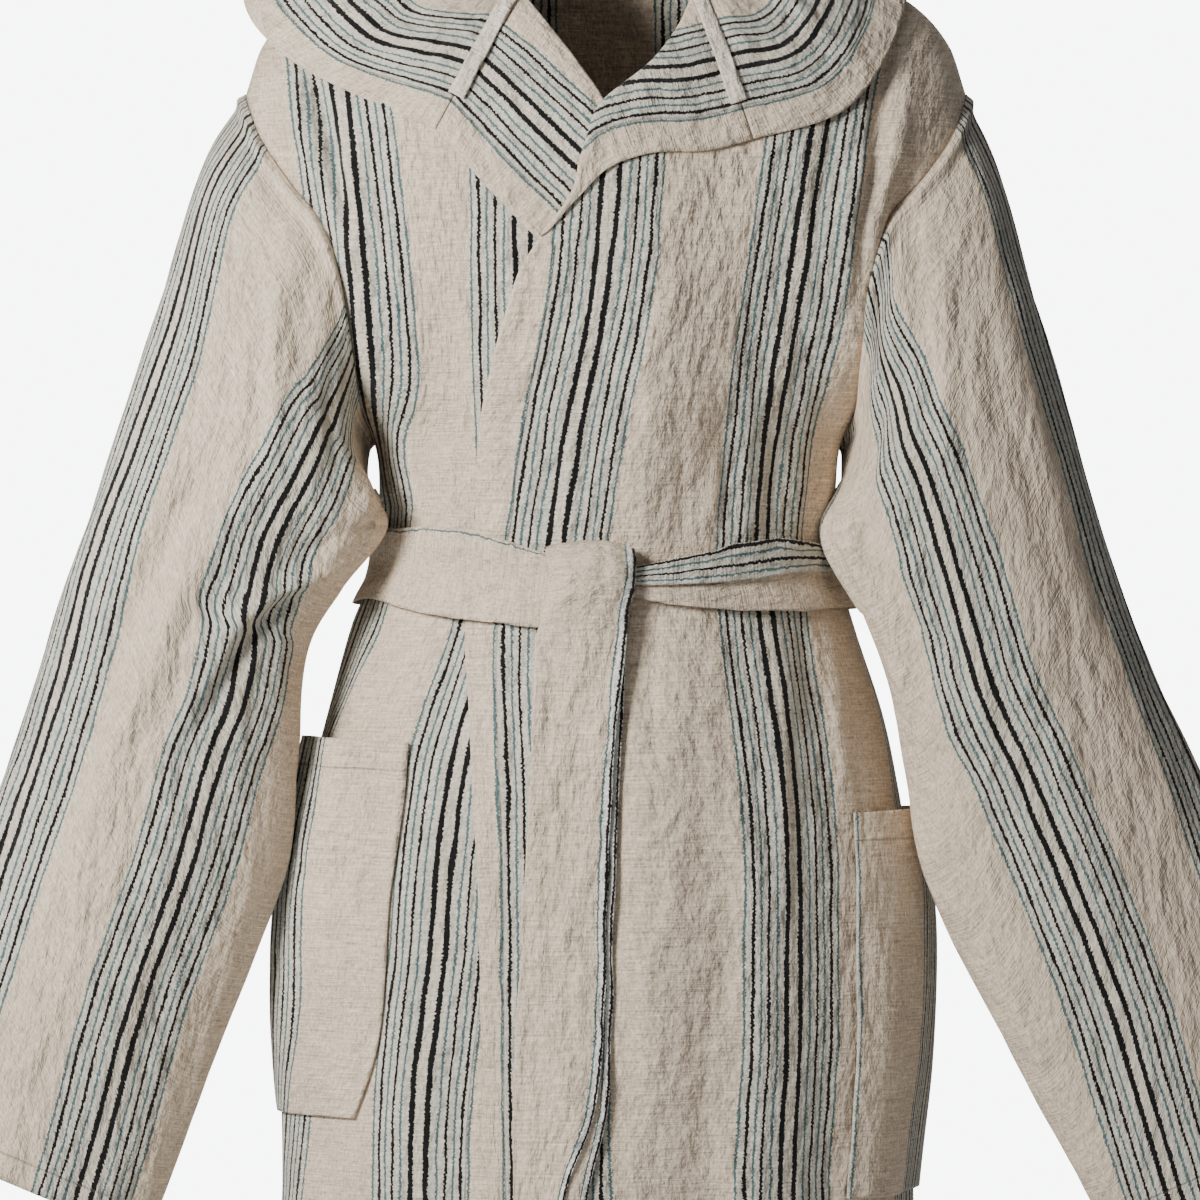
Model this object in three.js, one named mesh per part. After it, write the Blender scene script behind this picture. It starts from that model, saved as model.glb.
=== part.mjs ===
// Hooded wrap bathrobe of flat-woven striped cotton, in the shape it takes when it is worn.
// Millimetres, +Z up. The front faces -Y and +X is the wearer's left. The origin lies midway
// between the shoulders, where the robe is carried.
import * as THREE from "three";

// Driving sizes
const hemZ = -1180;
const underarmZ = -300;
const wall = 1.8;
const seamGap = 0.6;
const restGap = 0.4;
const rollRadius = 1.6;
const neckHalf = 62;
const neckPointZ = 22;
const backNeckDrop = 23;
const tipX = 232;
const tipZ = -80;
const squareness = 2.2;
const degree = Math.PI / 180;

// Outline of the trunk: half-widths at the wearer's right (left in the view) and left, and the
// depth of the front and of the back, at each height.
const trunk = [
  { z: 40, left: 320, right: 320, front: 104, back: 90 },
  { z: -60, left: 306, right: 306, front: 108, back: 95 },
  { z: -145, left: 266, right: 266, front: 114, back: 100 },
  { z: -190, left: 240, right: 240, front: 117, back: 101 },
  { z: -240, left: 203, right: 203, front: 118, back: 101 },
  { z: -270, left: 176, right: 176, front: 117, back: 100 },
  { z: underarmZ, left: 151, right: 151, front: 114, back: 98 },
  { z: -340, left: 146, right: 147, front: 107, back: 95 },
  { z: -385, left: 149, right: 150, front: 103, back: 92 },
  { z: -421, left: 164, right: 160, front: 106, back: 97 },
  { z: -480, left: 181, right: 180, front: 110, back: 106 },
  { z: -530, left: 194, right: 191, front: 113, back: 111 },
  { z: -575, left: 202, right: 198, front: 115, back: 114 },
  { z: -626, left: 208, right: 203, front: 117, back: 118 },
  { z: -700, left: 209, right: 203, front: 120, back: 122 },
  { z: -790, left: 207, right: 198, front: 124, back: 128 },
  { z: -900, left: 212, right: 204, front: 130, back: 136 },
  { z: hemZ, left: 236, right: 230, front: 144, back: 154 },
];

// Height of the shoulder line from the neck out to the tip of the armhole.
const shoulder = [
  { x: 0, z: 24 },
  { x: neckHalf, z: neckPointZ },
  { x: 120, z: 8 },
  { x: 170, z: -8 },
  { x: 200, z: -24 },
  { x: 222, z: -50 },
  { x: tipX, z: tipZ },
];

// How the chest and the back fall away under the shoulder line.
const yoke = {
  front: { height: 170, sharpness: 0.7 },
  back: { height: 150, sharpness: 0.5 },
};

// Half-width of the panels at the dropped armhole seam.
const armhole = [
  { z: tipZ, x: tipX },
  { z: -90, x: 229 },
  { z: -114, x: 219 },
  { z: -145, x: 197 },
  { z: -165, x: 180 },
  { z: -205, x: 164 },
  { z: -250, x: 156 },
  { z: underarmZ, x: 151 },
];

// The side seams swing to the back under the belt: their angle behind the side.
const sideSeam = [
  { z: underarmZ, angle: 0 },
  { z: -420, angle: 0 },
  { z: -540, angle: 28 },
  { z: hemZ, angle: 28 },
];

// Front edge of the panel that laps over, and of the one under it.
const overEdge = [
  { z: -181, x: -42 },
  { z: -201, x: -54 },
  { z: -242, x: -66 },
  { z: -297, x: -79 },
  { z: -359, x: -82 },
  { z: -421, x: -88 },
  { z: -504, x: -84 },
  { z: -602, x: -79 },
  { z: -675, x: -77 },
  { z: -790, x: -72 },
  { z: hemZ, x: -58 },
];
const underEdge = [
  { z: -225, x: 0 },
  { z: -380, x: -2 },
  { z: -419, x: -13 },
  { z: -492, x: -36 },
  { z: -565, x: -47 },
  { z: -675, x: -57 },
  { z: -749, x: -62 },
  { z: -860, x: -52 },
  { z: hemZ, x: -30 },
];

// Roll line of each lapel from its break up to the neck seam, and the free edge of the cloth
// that is turned out over it.
const overRoll = [
  { x: -42, z: -181 },
  { x: -21, z: -154 },
  { x: -12, z: -126 },
  { x: -2, z: -100 },
  { x: 28, z: -73 },
  { x: 47, z: -46 },
  { x: 58, z: -19 },
];
const overTurned = [
  { x: -42, z: -181 },
  { x: -33, z: -172 },
  { x: -15, z: -153 },
  { x: 2, z: -137 },
  { x: 24, z: -129 },
  { x: 63, z: -125 },
  { x: 92, z: -117 },
];
const underRoll = [
  { x: 0, z: -225 },
  { x: 4, z: -180 },
  { x: 3, z: -140 },
  { x: -1, z: -100 },
  { x: -18, z: -72 },
  { x: -38, z: -45 },
  { x: -58, z: -19 },
];
const underTurned = [
  { x: 0, z: -225 },
  { x: -14, z: -210 },
  { x: -42, z: -181 },
  { x: -74, z: -148 },
  { x: -92, z: -127 },
  { x: -106, z: -111 },
];

// Soft ridges and troughs of the fronts, each from its top to its foot.
const frontFolds = [
  { topX: 166, topZ: -120, footX: 141, footZ: -372, rise: 11, width: 15 },
  { topX: 190, topZ: -128, footX: 168, footZ: -230, rise: -7, width: 11 },
  { topX: -168, topZ: -120, footX: -138, footZ: -345, rise: 9, width: 15 },
  { topX: 118, topZ: -150, footX: 60, footZ: -372, rise: -4, width: 22 },
  { topX: -118, topZ: -150, footX: -96, footZ: -372, rise: -4, width: 20 },
  { topX: 38, topZ: -190, footX: 20, footZ: -375, rise: 3, width: 18 },
  { topX: 36, topZ: -412, footX: 44, footZ: -780, rise: 4, width: 20 },
  { topX: 96, topZ: -412, footX: 104, footZ: -1150, rise: 6, width: 26 },
  { topX: 62, topZ: -560, footX: 70, footZ: -1200, rise: -5, width: 24 },
  { topX: -112, topZ: -412, footX: -136, footZ: -900, rise: 5, width: 20 },
  { topX: -20, topZ: -640, footX: -4, footZ: -1200, rise: 6, width: 30 },
];

// Waves of the skirt: how deep they are and how deep the folds of the back hang.
const skirtWaves = [
  { z: -300, back: 0, side: 0 },
  { z: -385, back: 2, side: 0 },
  { z: -450, back: 5, side: 1 },
  { z: -600, back: 8, side: 3 },
  { z: -900, back: 10, side: 6 },
  { z: hemZ, back: 13, side: 9 },
];
const backFolds = 5;
const sideFolds = 3;
// Where the folds of each face set in, from nothing to full, as the sine or cosine of the angle.
const foldFade = { back: [0.05, 0.6], side: [0.5, 0.95], front: [0, 0.45] };

// Extra height of the lapping panel: over the turned-out cloth under it, then over bare panel.
const lapLift = [
  { z: -40, lift: 0 },
  { z: -95, lift: 8 },
  { z: -228, lift: 8 },
  { z: -285, lift: 3.4 },
  { z: -430, lift: 3.4 },
  { z: -520, lift: 5 },
  { z: hemZ, lift: 5 },
];

// Sleeve sections from the armhole to the cuff: the outer and the inner edge in the front view,
// how far forward the middle hangs and how deep the section is.
const sleeves = {
  left: [
    { step: 0, outX: -232, outZ: -80, inX: -151, inZ: -300, midY: 0, depth: 150 },
    { step: 1, outX: -257, outZ: -126, inX: -150, inZ: -331, midY: -34, depth: 134 },
    { step: 2, outX: -283, outZ: -216, inX: -138, inZ: -360, midY: -60, depth: 110 },
    { step: 3, outX: -309, outZ: -293, inX: -166, inZ: -398, midY: -63, depth: 102 },
    { step: 4, outX: -342, outZ: -392, inX: -189, inZ: -438, midY: -60, depth: 100 },
    { step: 5, outX: -367, outZ: -470, inX: -195, inZ: -508, midY: -56, depth: 98 },
    { step: 6, outX: -388, outZ: -532, inX: -206, inZ: -585, midY: -56, depth: 94 },
    { step: 7, outX: -420, outZ: -632, inX: -242, inZ: -680, midY: -58, depth: 86 },
    { step: 8, outX: -455, outZ: -739, inX: -289, inZ: -810, midY: -60, depth: 78 },
  ],
  right: [
    { step: 0, outX: 232, outZ: -80, inX: 151, inZ: -300, midY: 0, depth: 150 },
    { step: 1, outX: 250, outZ: -128, inX: 151, inZ: -333, midY: -28, depth: 134 },
    { step: 2, outX: 270, outZ: -205, inX: 144, inZ: -366, midY: -54, depth: 116 },
    { step: 3, outX: 291, outZ: -280, inX: 158, inZ: -402, midY: -60, depth: 104 },
    { step: 4, outX: 319, outZ: -375, inX: 177, inZ: -450, midY: -58, depth: 100 },
    { step: 5, outX: 345, outZ: -445, inX: 191, inZ: -514, midY: -56, depth: 98 },
    { step: 6, outX: 380, outZ: -520, inX: 204, inZ: -586, midY: -56, depth: 94 },
    { step: 7, outX: 425, outZ: -630, inX: 260, inZ: -698, midY: -58, depth: 86 },
    { step: 8, outX: 468, outZ: -743, inX: 322, inZ: -811, midY: -60, depth: 78 },
  ],
};

const lerp = (a, b, t) => a + (b - a) * t;
const clamp = (value, low, high) => Math.min(Math.max(value, low), high);

// 0 up to one place, 1 from another, and a smooth step between them.
function step(from, to, value) {
  const t = clamp((value - from) / (to - from), 0, 1);
  return t * t * (3 - 2 * t);
}

// A column of a table, read smoothly between its rows.
function readAt(rows, by, column, place) {
  const last = rows.length - 1;
  const sign = rows[0][by] > rows[last][by] ? -1 : 1;
  const at = clamp(sign * place, sign * rows[0][by], sign * rows[last][by]);
  let i = 0;
  while (i < last - 1 && at > sign * rows[i + 1][by]) i += 1;
  const slope = (k) => {
    const before = rows[Math.max(k - 1, 0)];
    const after = rows[Math.min(k + 1, last)];
    return (after[column] - before[column]) / (sign * (after[by] - before[by]));
  };
  const span = sign * (rows[i + 1][by] - rows[i][by]);
  const t = (at - sign * rows[i][by]) / span;
  const bend = slope(i) * t * (1 - t) ** 2 - slope(i + 1) * t * t * (1 - t);
  return lerp(rows[i][column], rows[i + 1][column], t * t * (3 - 2 * t)) + span * bend;
}

// A path in the front view, given by its points and read by the share of its length.
function pathAt(points, share) {
  let length = 0;
  const rows = points.map((point, i) => {
    const last = points[Math.max(i - 1, 0)];
    length += Math.hypot(point.x - last.x, point.z - last.z);
    return { length, x: point.x, z: point.z };
  });
  const x = readAt(rows, "length", "x", share * length);
  const z = readAt(rows, "length", "z", share * length);
  return { x, z };
}

// A smooth curve through points in space.
function splineAt(points, share) {
  const place = clamp(share, 0, 1) * (points.length - 1);
  const i = Math.min(Math.floor(place), points.length - 2);
  const t = place - i;
  const p = [-1, 0, 1, 2].map((k) => points[clamp(i + k, 0, points.length - 1)]);
  const weight = [
    (-t + 2 * t * t - t ** 3) / 2,
    (2 - 5 * t * t + 3 * t ** 3) / 2,
    (t + 4 * t * t - 3 * t ** 3) / 2,
    (t ** 3 - t * t) / 2,
  ];
  return p.reduce((sum, q, k) => sum.addScaledVector(q, weight[k]), new THREE.Vector3());
}

const shoulderZ = (x) => readAt(shoulder, "x", "z", Math.abs(x));
const widthAt = (z, side) => readAt(trunk, "z", side, z);

// The body's cloth, by the angle round the trunk from the wearer's left side over the front.
function trunkPoint(angle, z) {
  const side = Math.cos(angle) < 0 ? "left" : "right";
  const face = Math.sin(angle) < 0 ? "back" : "front";
  const x = Math.cos(angle) * widthAt(z, side);
  const round = Math.sqrt(Math.max(1 - Math.abs(Math.cos(angle)) ** squareness, 0));
  const { height, sharpness } = yoke[face];
  const drop = clamp(shoulderZ(x) - z, 0, height);
  const fall = (1 - (1 - drop / height) ** 2) ** sharpness;
  const y = readAt(trunk, "z", face, z) * round * fall;
  return new THREE.Vector3(x, face === "front" ? -y : y, z);
}

function foldRise(fold, x, z) {
  const share = (fold.topZ - z) / (fold.topZ - fold.footZ);
  if (share <= 0 || share >= 1) return 0;
  const off = (x - lerp(fold.topX, fold.footX, share)) / fold.width;
  return fold.rise * Math.sin(Math.PI * share) ** 0.6 * Math.exp(-off * off);
}

function drape(angle, x, z) {
  const back = step(...foldFade.back, -Math.sin(angle));
  const side = step(...foldFade.side, Math.abs(Math.cos(angle))) * (1 - back);
  const backWave = readAt(skirtWaves, "z", "back", z) * Math.cos(2 * backFolds * (angle + Math.PI / 2));
  const sideWave = readAt(skirtWaves, "z", "side", z) * Math.sin(2 * sideFolds * angle + z / 260);
  let rise = back * backWave + side * sideWave;
  const seamFade = step(...foldFade.front, Math.sin(angle));
  if (seamFade > 0) for (const fold of frontFolds) rise += foldRise(fold, x, z) * seamFade;
  return rise;
}

function bodyPoint(angle, z) {
  const point = trunkPoint(angle, z);
  const face = Math.sin(angle) < 0 ? "back" : "front";
  const side = Math.cos(angle) < 0 ? "left" : "right";
  const out = new THREE.Vector3(
    Math.cos(angle) / widthAt(z, side),
    -Math.sin(angle) / readAt(trunk, "z", face, z),
    0,
  );
  const nearTop = step(0, 30, shoulderZ(point.x) - z);
  return point.addScaledVector(out.normalize(), drape(angle, point.x, z) * nearTop);
}

// Direction straight out of the body's cloth. On the shoulder seam it has no part along Y, so
// that front and back meet edge to edge.
function bodyNormal(angle, z) {
  const reach = 0.01;
  const rise = 1.5;
  const across = bodyPoint(angle + reach, z).sub(bodyPoint(angle - reach, z));
  const along = bodyPoint(angle, z).sub(bodyPoint(angle, z - rise));
  const normal = along.cross(across).normalize();
  const x = bodyPoint(angle, z).x;
  if (shoulderZ(x) - z < 2 && z > underarmZ) normal.y = 0;
  return normal.normalize();
}

function lifted(angle, z, lift) {
  return bodyPoint(angle, z).addScaledVector(bodyNormal(angle, z), lift);
}

// Angle of a place in the front view, on the front or on the back.
function angleOf(x, z, face = "front") {
  const width = widthAt(z, x < 0 ? "left" : "right");
  const angle = Math.acos(clamp(x / width, -1, 1));
  return face === "front" ? angle : -angle;
}

// A closed wall made of an outer and an inner face joined at every free edge.
class Cloth {
  constructor() {
    this.outer = [];
    this.inner = [];
    this.faces = [];
  }
  add(outer, inner) {
    this.outer.push(outer);
    this.inner.push(inner);
    return this.outer.length - 1;
  }
  quad(a, b, c, d) {
    const corners = [a, b, c, d].filter((corner, i, all) => corner !== all[(i + 1) % all.length]);
    for (let i = 1; i + 1 < corners.length; i += 1)
      this.faces.push([corners[0], corners[i], corners[i + 1]]);
  }
  // rows: arrays of indices; a closed sheet joins the last column to the first.
  sheet(rows, closed = false) {
    for (let r = 0; r + 1 < rows.length; r += 1) {
      const count = rows[r].length;
      for (let c = 0; c < (closed ? count : count - 1); c += 1) {
        const next = (c + 1) % count;
        this.quad(rows[r][c], rows[r][next], rows[r + 1][next], rows[r + 1][c]);
      }
    }
  }
  geometry() {
    const count = this.outer.length;
    const edges = new Set(this.faces.flatMap(([a, b, c]) => [`${a},${b}`, `${b},${c}`, `${c},${a}`]));
    const index = [];
    for (const [a, b, c] of this.faces) {
      index.push(a, b, c, count + a, count + c, count + b);
      for (const [from, to] of [[a, b], [b, c], [c, a]])
        if (!edges.has(`${to},${from}`)) index.push(from, count + from, to, to, count + from, count + to);
    }
    const points = [...this.outer, ...this.inner];
    let volume = 0;
    for (let i = 0; i < index.length; i += 3) {
      const [a, b, c] = [points[index[i]], points[index[i + 1]], points[index[i + 2]]];
      volume += a.dot(b.clone().cross(c));
    }
    if (volume < 0) {
      for (let i = 0; i < index.length; i += 3) [index[i], index[i + 1]] = [index[i + 1], index[i]];
    }
    const made = new THREE.BufferGeometry().setFromPoints(points);
    made.setIndex(index);
    made.computeVertexNormals();
    return made;
  }
}

const shade = {
  cream: new THREE.MeshStandardMaterial({ color: 0xcdbeac, roughness: 0.9, metalness: 0 }),
  pale: new THREE.MeshStandardMaterial({ color: 0xbec3be, roughness: 0.9, metalness: 0 }),
  tape: new THREE.MeshStandardMaterial({ color: 0xd8cab8, roughness: 0.85, metalness: 0 }),
};
const robe = new THREE.Group();
robe.name = "hooded_bathrobe";

function keep(name, cloth, material) {
  const mesh = new THREE.Mesh(cloth.geometry(), material.clone());
  mesh.name = name;
  robe.add(mesh);
}

// Points of the armhole seam, round from its tip over the front (or the back) to the underarm.
const armholeSteps = 12;
function armholePlace(share, sign) {
  const z = lerp(tipZ, underarmZ, (1 - Math.cos(Math.PI * share)) / 2);
  return { x: sign * readAt(armhole, "z", "x", z), z };
}

// At the armhole seam the panel and the sleeve are offset alike, straight out of the armhole.
const armholeAxis = { x: 0.94, z: -0.34 };
const armholeMiddle = { x: 190, z: -190 };
function armholeInner(point, sign) {
  const axis = new THREE.Vector3(sign * armholeAxis.x, 0, armholeAxis.z);
  const out = point.clone().sub(new THREE.Vector3(sign * armholeMiddle.x, 0, armholeMiddle.z));
  out.addScaledVector(axis, -out.dot(axis)).normalize();
  return point.clone().addScaledVector(out, -wall);
}

// A patch between four edges in the front view.
function patchPlace(edges, across, up) {
  const mix = (key) => {
    const foot = edges.foot(across)[key];
    const top = edges.top(across)[key];
    const side = edges.side(up)[key];
    const free = edges.free(up)[key];
    const cornersBelow = lerp(edges.foot(0)[key], edges.foot(1)[key], across);
    const cornersAbove = lerp(edges.top(0)[key], edges.top(1)[key], across);
    const corners = lerp(cornersBelow, cornersAbove, up);
    return lerp(foot, top, up) + lerp(side, free, across) - corners;
  };
  return { x: mix("x"), z: mix("z") };
}

const skirtRows = [
  hemZ, -1080, -980, -880, -790, -710, -640, -575, -520, -475, -440, -410, -385, -360, -330,
];
const lapHeight = (x, z) => readAt(lapLift, "z", "lift", z) * (1 - step(15, 90, x));

// One front, from its side seam and armhole to its free edge, with its turned-out lapel.
function frontPanel(name, spec) {
  const cloth = new Cloth();
  const { sign, columns, edge, roll, lift, rows } = spec;
  const sideAngle = (z) => {
    const behind = readAt(sideSeam, "z", "angle", z) * degree;
    const clear = seamGap / readAt(trunk, "z", "front", z);
    return sign > 0 ? -behind + clear : Math.PI + behind - clear;
  };
  const place = (angle, z) => {
    const height = lift(bodyPoint(angle, z).x, z);
    return [lifted(angle, z, height), lifted(angle, z, height - wall)];
  };
  const grid = [];
  for (const z of skirtRows) {
    const free = angleOf(readAt(edge, "z", "x", z), z);
    const line = [];
    for (let c = 0; c <= columns; c += 1)
      line.push(cloth.add(...place(lerp(sideAngle(z), free, c / columns), z)));
    grid.push(line);
  }
  // From the underarm up: the armhole on one side, the front edge, roll line and neck on the other.
  const footFree = angleOf(readAt(edge, "z", "x", underarmZ), underarmZ);
  const breakPoint = roll[0];
  const freeAt = (up) => {
    const row = up * armholeSteps;
    if (row <= rows.edge) {
      const z = lerp(underarmZ, breakPoint.z, row / rows.edge);
      return { x: readAt(edge, "z", "x", z), z };
    }
    if (row <= rows.edge + rows.roll) return pathAt(roll, (row - rows.edge) / rows.roll);
    const share = (row - rows.edge - rows.roll) / rows.neck;
    const seam = roll[roll.length - 1];
    return { x: lerp(seam.x, sign * neckHalf, share), z: lerp(seam.z, neckPointZ, share) };
  };
  const edges = {
    foot: (c) => {
      const angle = lerp(sign > 0 ? 0 : Math.PI, footFree, c);
      return { x: Math.cos(angle) * widthAt(underarmZ, sign > 0 ? "right" : "left"), z: underarmZ };
    },
    top: (c) => {
      const x = lerp(tipX, neckHalf, c);
      return { x: sign * x, z: shoulderZ(x) };
    },
    side: (up) => armholePlace(1 - up, sign),
    free: freeAt,
  };
  for (let r = 0; r <= armholeSteps; r += 1) {
    const line = [];
    for (let c = 0; c <= columns; c += 1) {
      const { x, z } = patchPlace(edges, c / columns, r / armholeSteps);
      const pair = place(angleOf(x, Math.min(z, shoulderZ(x))), Math.min(z, shoulderZ(x)));
      if (c === 0) pair[1] = armholeInner(pair[0], sign);
      if (r === armholeSteps || (r === 0 && c === 0))
        for (const point of pair) point.y = Math.min(point.y, 0) - seamGap / 2;
      line.push(cloth.add(...pair));
    }
    grid.push(line);
  }
  cloth.sheet(grid);
  cloth.sheet(lapel(cloth, grid, spec));
  keep(name, cloth, shade.cream);
}

// Height of the turned-out cloth's visible face above the panel it lies on.
const turnedLift = (across) => lerp(2 * rollRadius + wall, restGap + wall + 1.2, across);
const turnedColumns = 5;
const rollSteps = 4;

// The lapel's rows: round the roll line and out over the chest. It starts from one point at the
// break, where the fold opens out flat.
function lapel(cloth, grid, { roll, turned, lift, rows }) {
  const first = skirtRows.length + rows.edge;
  const lines = [];
  for (let r = 0; r <= rows.roll; r += 1) {
    const share = r / rows.roll;
    const start = grid[first + r][grid[0].length - 1];
    const at = pathAt(roll, share);
    const end = pathAt(turned, share);
    const line = [start];
    const size = step(0, 0.3, share);
    const radius = rollRadius * size;
    const height = lift(at.x, at.z);
    const angle = angleOf(at.x, at.z);
    const normal = bodyNormal(angle, at.z);
    const foot = bodyPoint(angle, at.z).addScaledVector(normal, height + radius);
    const inward = new THREE.Vector3(at.x - end.x, 0, at.z - end.z);
    inward.addScaledVector(normal, -inward.dot(normal)).normalize();
    for (let k = 1; k <= rollSteps + turnedColumns; k += 1) {
      if (r === 0) {
        line.push(start);
        continue;
      }
      if (k <= rollSteps) {
        const turn = (Math.PI * k) / (rollSteps + 1);
        const swing = (reach) => {
          const up = -reach * Math.cos(turn);
          const aside = reach * Math.sin(turn);
          return foot.clone().addScaledVector(normal, up).addScaledVector(inward, aside);
        };
        line.push(cloth.add(swing(radius), swing(radius + wall)));
        continue;
      }
      const across = (k - rollSteps - 1) / (turnedColumns - 1);
      const x = lerp(at.x, end.x, across);
      const z = lerp(at.z, end.z, across);
      const rest = lift(x, z) + lerp(2 * radius + wall, turnedLift(across), step(0, 0.4, across) * size);
      const where = angleOf(x, z);
      line.push(cloth.add(lifted(where, z, rest - wall), lifted(where, z, rest)));
    }
    lines.push(line);
  }
  return lines;
}

frontPanel("front_over", {
  sign: 1,
  columns: 18,
  edge: overEdge,
  roll: overRoll,
  turned: overTurned,
  lift: lapHeight,
  rows: { edge: 3, roll: 7, neck: 2 },
});
frontPanel("front_under", {
  sign: -1,
  columns: 13,
  edge: underEdge,
  roll: underRoll,
  turned: underTurned,
  lift: () => 0,
  rows: { edge: 2, roll: 8, neck: 2 },
});

// The back, from side seam to side seam, up to the shoulder seams and the back of the neck.
const backColumns = 30;
const neckColumns = 8;
const backNeckZ = (x) => neckPointZ - backNeckDrop * Math.max(1 - (x / neckHalf) ** 2, 0) ** 0.8;
function backPanel() {
  const cloth = new Cloth();
  const grid = [];
  const pair = (angle, z) => [lifted(angle, z, 0), lifted(angle, z, -wall)];
  for (const z of skirtRows) {
    const behind = readAt(sideSeam, "z", "angle", z) * degree + seamGap / readAt(trunk, "z", "back", z);
    const line = [];
    for (let c = 0; c <= backColumns; c += 1)
      line.push(cloth.add(...pair(-lerp(behind, Math.PI - behind, c / backColumns), z)));
    grid.push(line);
  }
  const shoulderColumns = (backColumns - neckColumns) / 2;
  const topX = (column) => {
    if (column <= shoulderColumns) return lerp(tipX, neckHalf, column / shoulderColumns);
    if (column >= backColumns - shoulderColumns)
      return -lerp(tipX, neckHalf, (backColumns - column) / shoulderColumns);
    return neckHalf * Math.cos((Math.PI * (column - shoulderColumns)) / neckColumns);
  };
  const edges = {
    foot: (c) => {
      const width = widthAt(underarmZ, c < 0.5 ? "right" : "left");
      return { x: Math.cos(Math.PI * c) * width, z: underarmZ };
    },
    top: (c) => {
      const x = topX(Math.round(c * backColumns));
      return { x, z: Math.abs(x) < neckHalf ? backNeckZ(x) : shoulderZ(x) };
    },
    side: (up) => armholePlace(1 - up, 1),
    free: (up) => armholePlace(1 - up, -1),
  };
  for (let r = 0; r <= armholeSteps; r += 1) {
    const line = [];
    for (let c = 0; c <= backColumns; c += 1) {
      const { x, z } = patchPlace(edges, c / backColumns, r / armholeSteps);
      const low = Math.min(z, shoulderZ(x));
      const points = pair(angleOf(x, low, "back"), low);
      if (c === 0) points[1] = armholeInner(points[0], 1);
      if (c === backColumns) points[1] = armholeInner(points[0], -1);
      const onSeam = r === armholeSteps && Math.abs(x) > neckHalf - 1;
      const atUnderarm = r === 0 && (c === 0 || c === backColumns);
      if (onSeam || atUnderarm) for (const point of points) point.y = Math.max(point.y, 0) + seamGap / 2;
      line.push(cloth.add(...points));
    }
    grid.push(line);
  }
  cloth.sheet(grid);
  keep("back", cloth, shade.cream);
}
backPanel();

// A sleeve, from the armhole seam to its open cuff.
const sleeveRings = 14;
function sleevePoint(side, around, along) {
  const rows = sleeves[side];
  const at = (column, place) => readAt(rows, "step", column, place);
  const section = (place) => {
    const reach = (1 + Math.cos(around)) / 2;
    const bulge = Math.sign(Math.sin(around)) * Math.abs(Math.sin(around)) ** 1.2;
    return new THREE.Vector3(
      lerp(at("inX", place), at("outX", place), reach),
      at("midY", place) - (at("depth", place) / 2) * bulge,
      lerp(at("inZ", place), at("outZ", place), reach),
    );
  };
  const sign = side === "left" ? -1 : 1;
  const front = Math.sin(around) >= 0;
  const share = (front ? around : 2 * Math.PI - around) / Math.PI;
  const seam = armholePlace(share, sign);
  const start = bodyPoint(angleOf(seam.x, seam.z, front ? "front" : "back"), seam.z);
  const shift = start.sub(section(0)).multiplyScalar(1 - step(0, 2, along));
  return section(along).add(shift);
}

function sleeve(name, side) {
  const cloth = new Cloth();
  const sign = side === "left" ? -1 : 1;
  const outward = new THREE.Vector3(sign * armholeAxis.x, 0, armholeAxis.z);
  const columns = 2 * armholeSteps;
  const steps = sleeves[side].length - 1;
  const grid = [];
  for (let r = 0; r <= sleeveRings; r += 1) {
    const along = (steps * r) / sleeveRings;
    const line = [];
    for (let c = 0; c < columns; c += 1) {
      const around = (2 * Math.PI * c) / columns;
      const point = sleevePoint(side, around, along);
      const reach = 0.02;
      const turn = sleevePoint(side, around + reach, along).sub(sleevePoint(side, around - reach, along));
      const run = sleevePoint(side, around, along + reach).sub(sleevePoint(side, around, along - reach));
      const normal = turn.cross(run).multiplyScalar(sign).normalize();
      const inner = r === 0 ? armholeInner(point, sign) : point.clone().addScaledVector(normal, -wall);
      if (r === 0) for (const end of [point, inner]) end.addScaledVector(outward, seamGap);
      line.push(cloth.add(point, inner));
    }
    grid.push(line);
  }
  cloth.sheet(grid, true);
  keep(name, cloth, shade.cream);
}
sleeve("sleeve_left", "right");
sleeve("sleeve_right", "left");

// A place on the fronts in the front view, moved out from the panel that lies there. Right of the
// lap's edge that is the lapping panel.
const onOver = (x, z, lift) => lifted(angleOf(x, z), z, lift + lapHeight(x, z));
const onUnder = (x, z, lift) => lifted(angleOf(x, z), z, lift);
const free = (x, y, z) => new THREE.Vector3(x, y, z);

// The neck edge at the back, a little above the back panel.
function onBackNeck(x) {
  const z = backNeckZ(x);
  return lifted(angleOf(x, z, "back"), z, 0).add(new THREE.Vector3(0, 0, 4 * restGap));
}

// Where the neck seam crosses the turned-out cloth, from the roll line out to the free edge.
const seamLine = {
  left: { neck: underRoll.at(-1), corner: underTurned.at(-1), on: onUnder, sign: -1 },
  right: { neck: overRoll.at(-1), corner: overTurned.at(-1), on: onOver, sign: 1 },
};
function onSeamLine(side, share, aside, lift) {
  const { neck, corner, on, sign } = seamLine[side];
  const run = { x: corner.x - neck.x, z: corner.z - neck.z };
  const length = Math.hypot(run.x, run.z);
  const x = lerp(neck.x, corner.x, share) - (sign * aside * run.z) / length;
  const z = lerp(neck.z, corner.z, share) + (sign * aside * run.x) / length;
  return on(x, z, lift);
}

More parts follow.
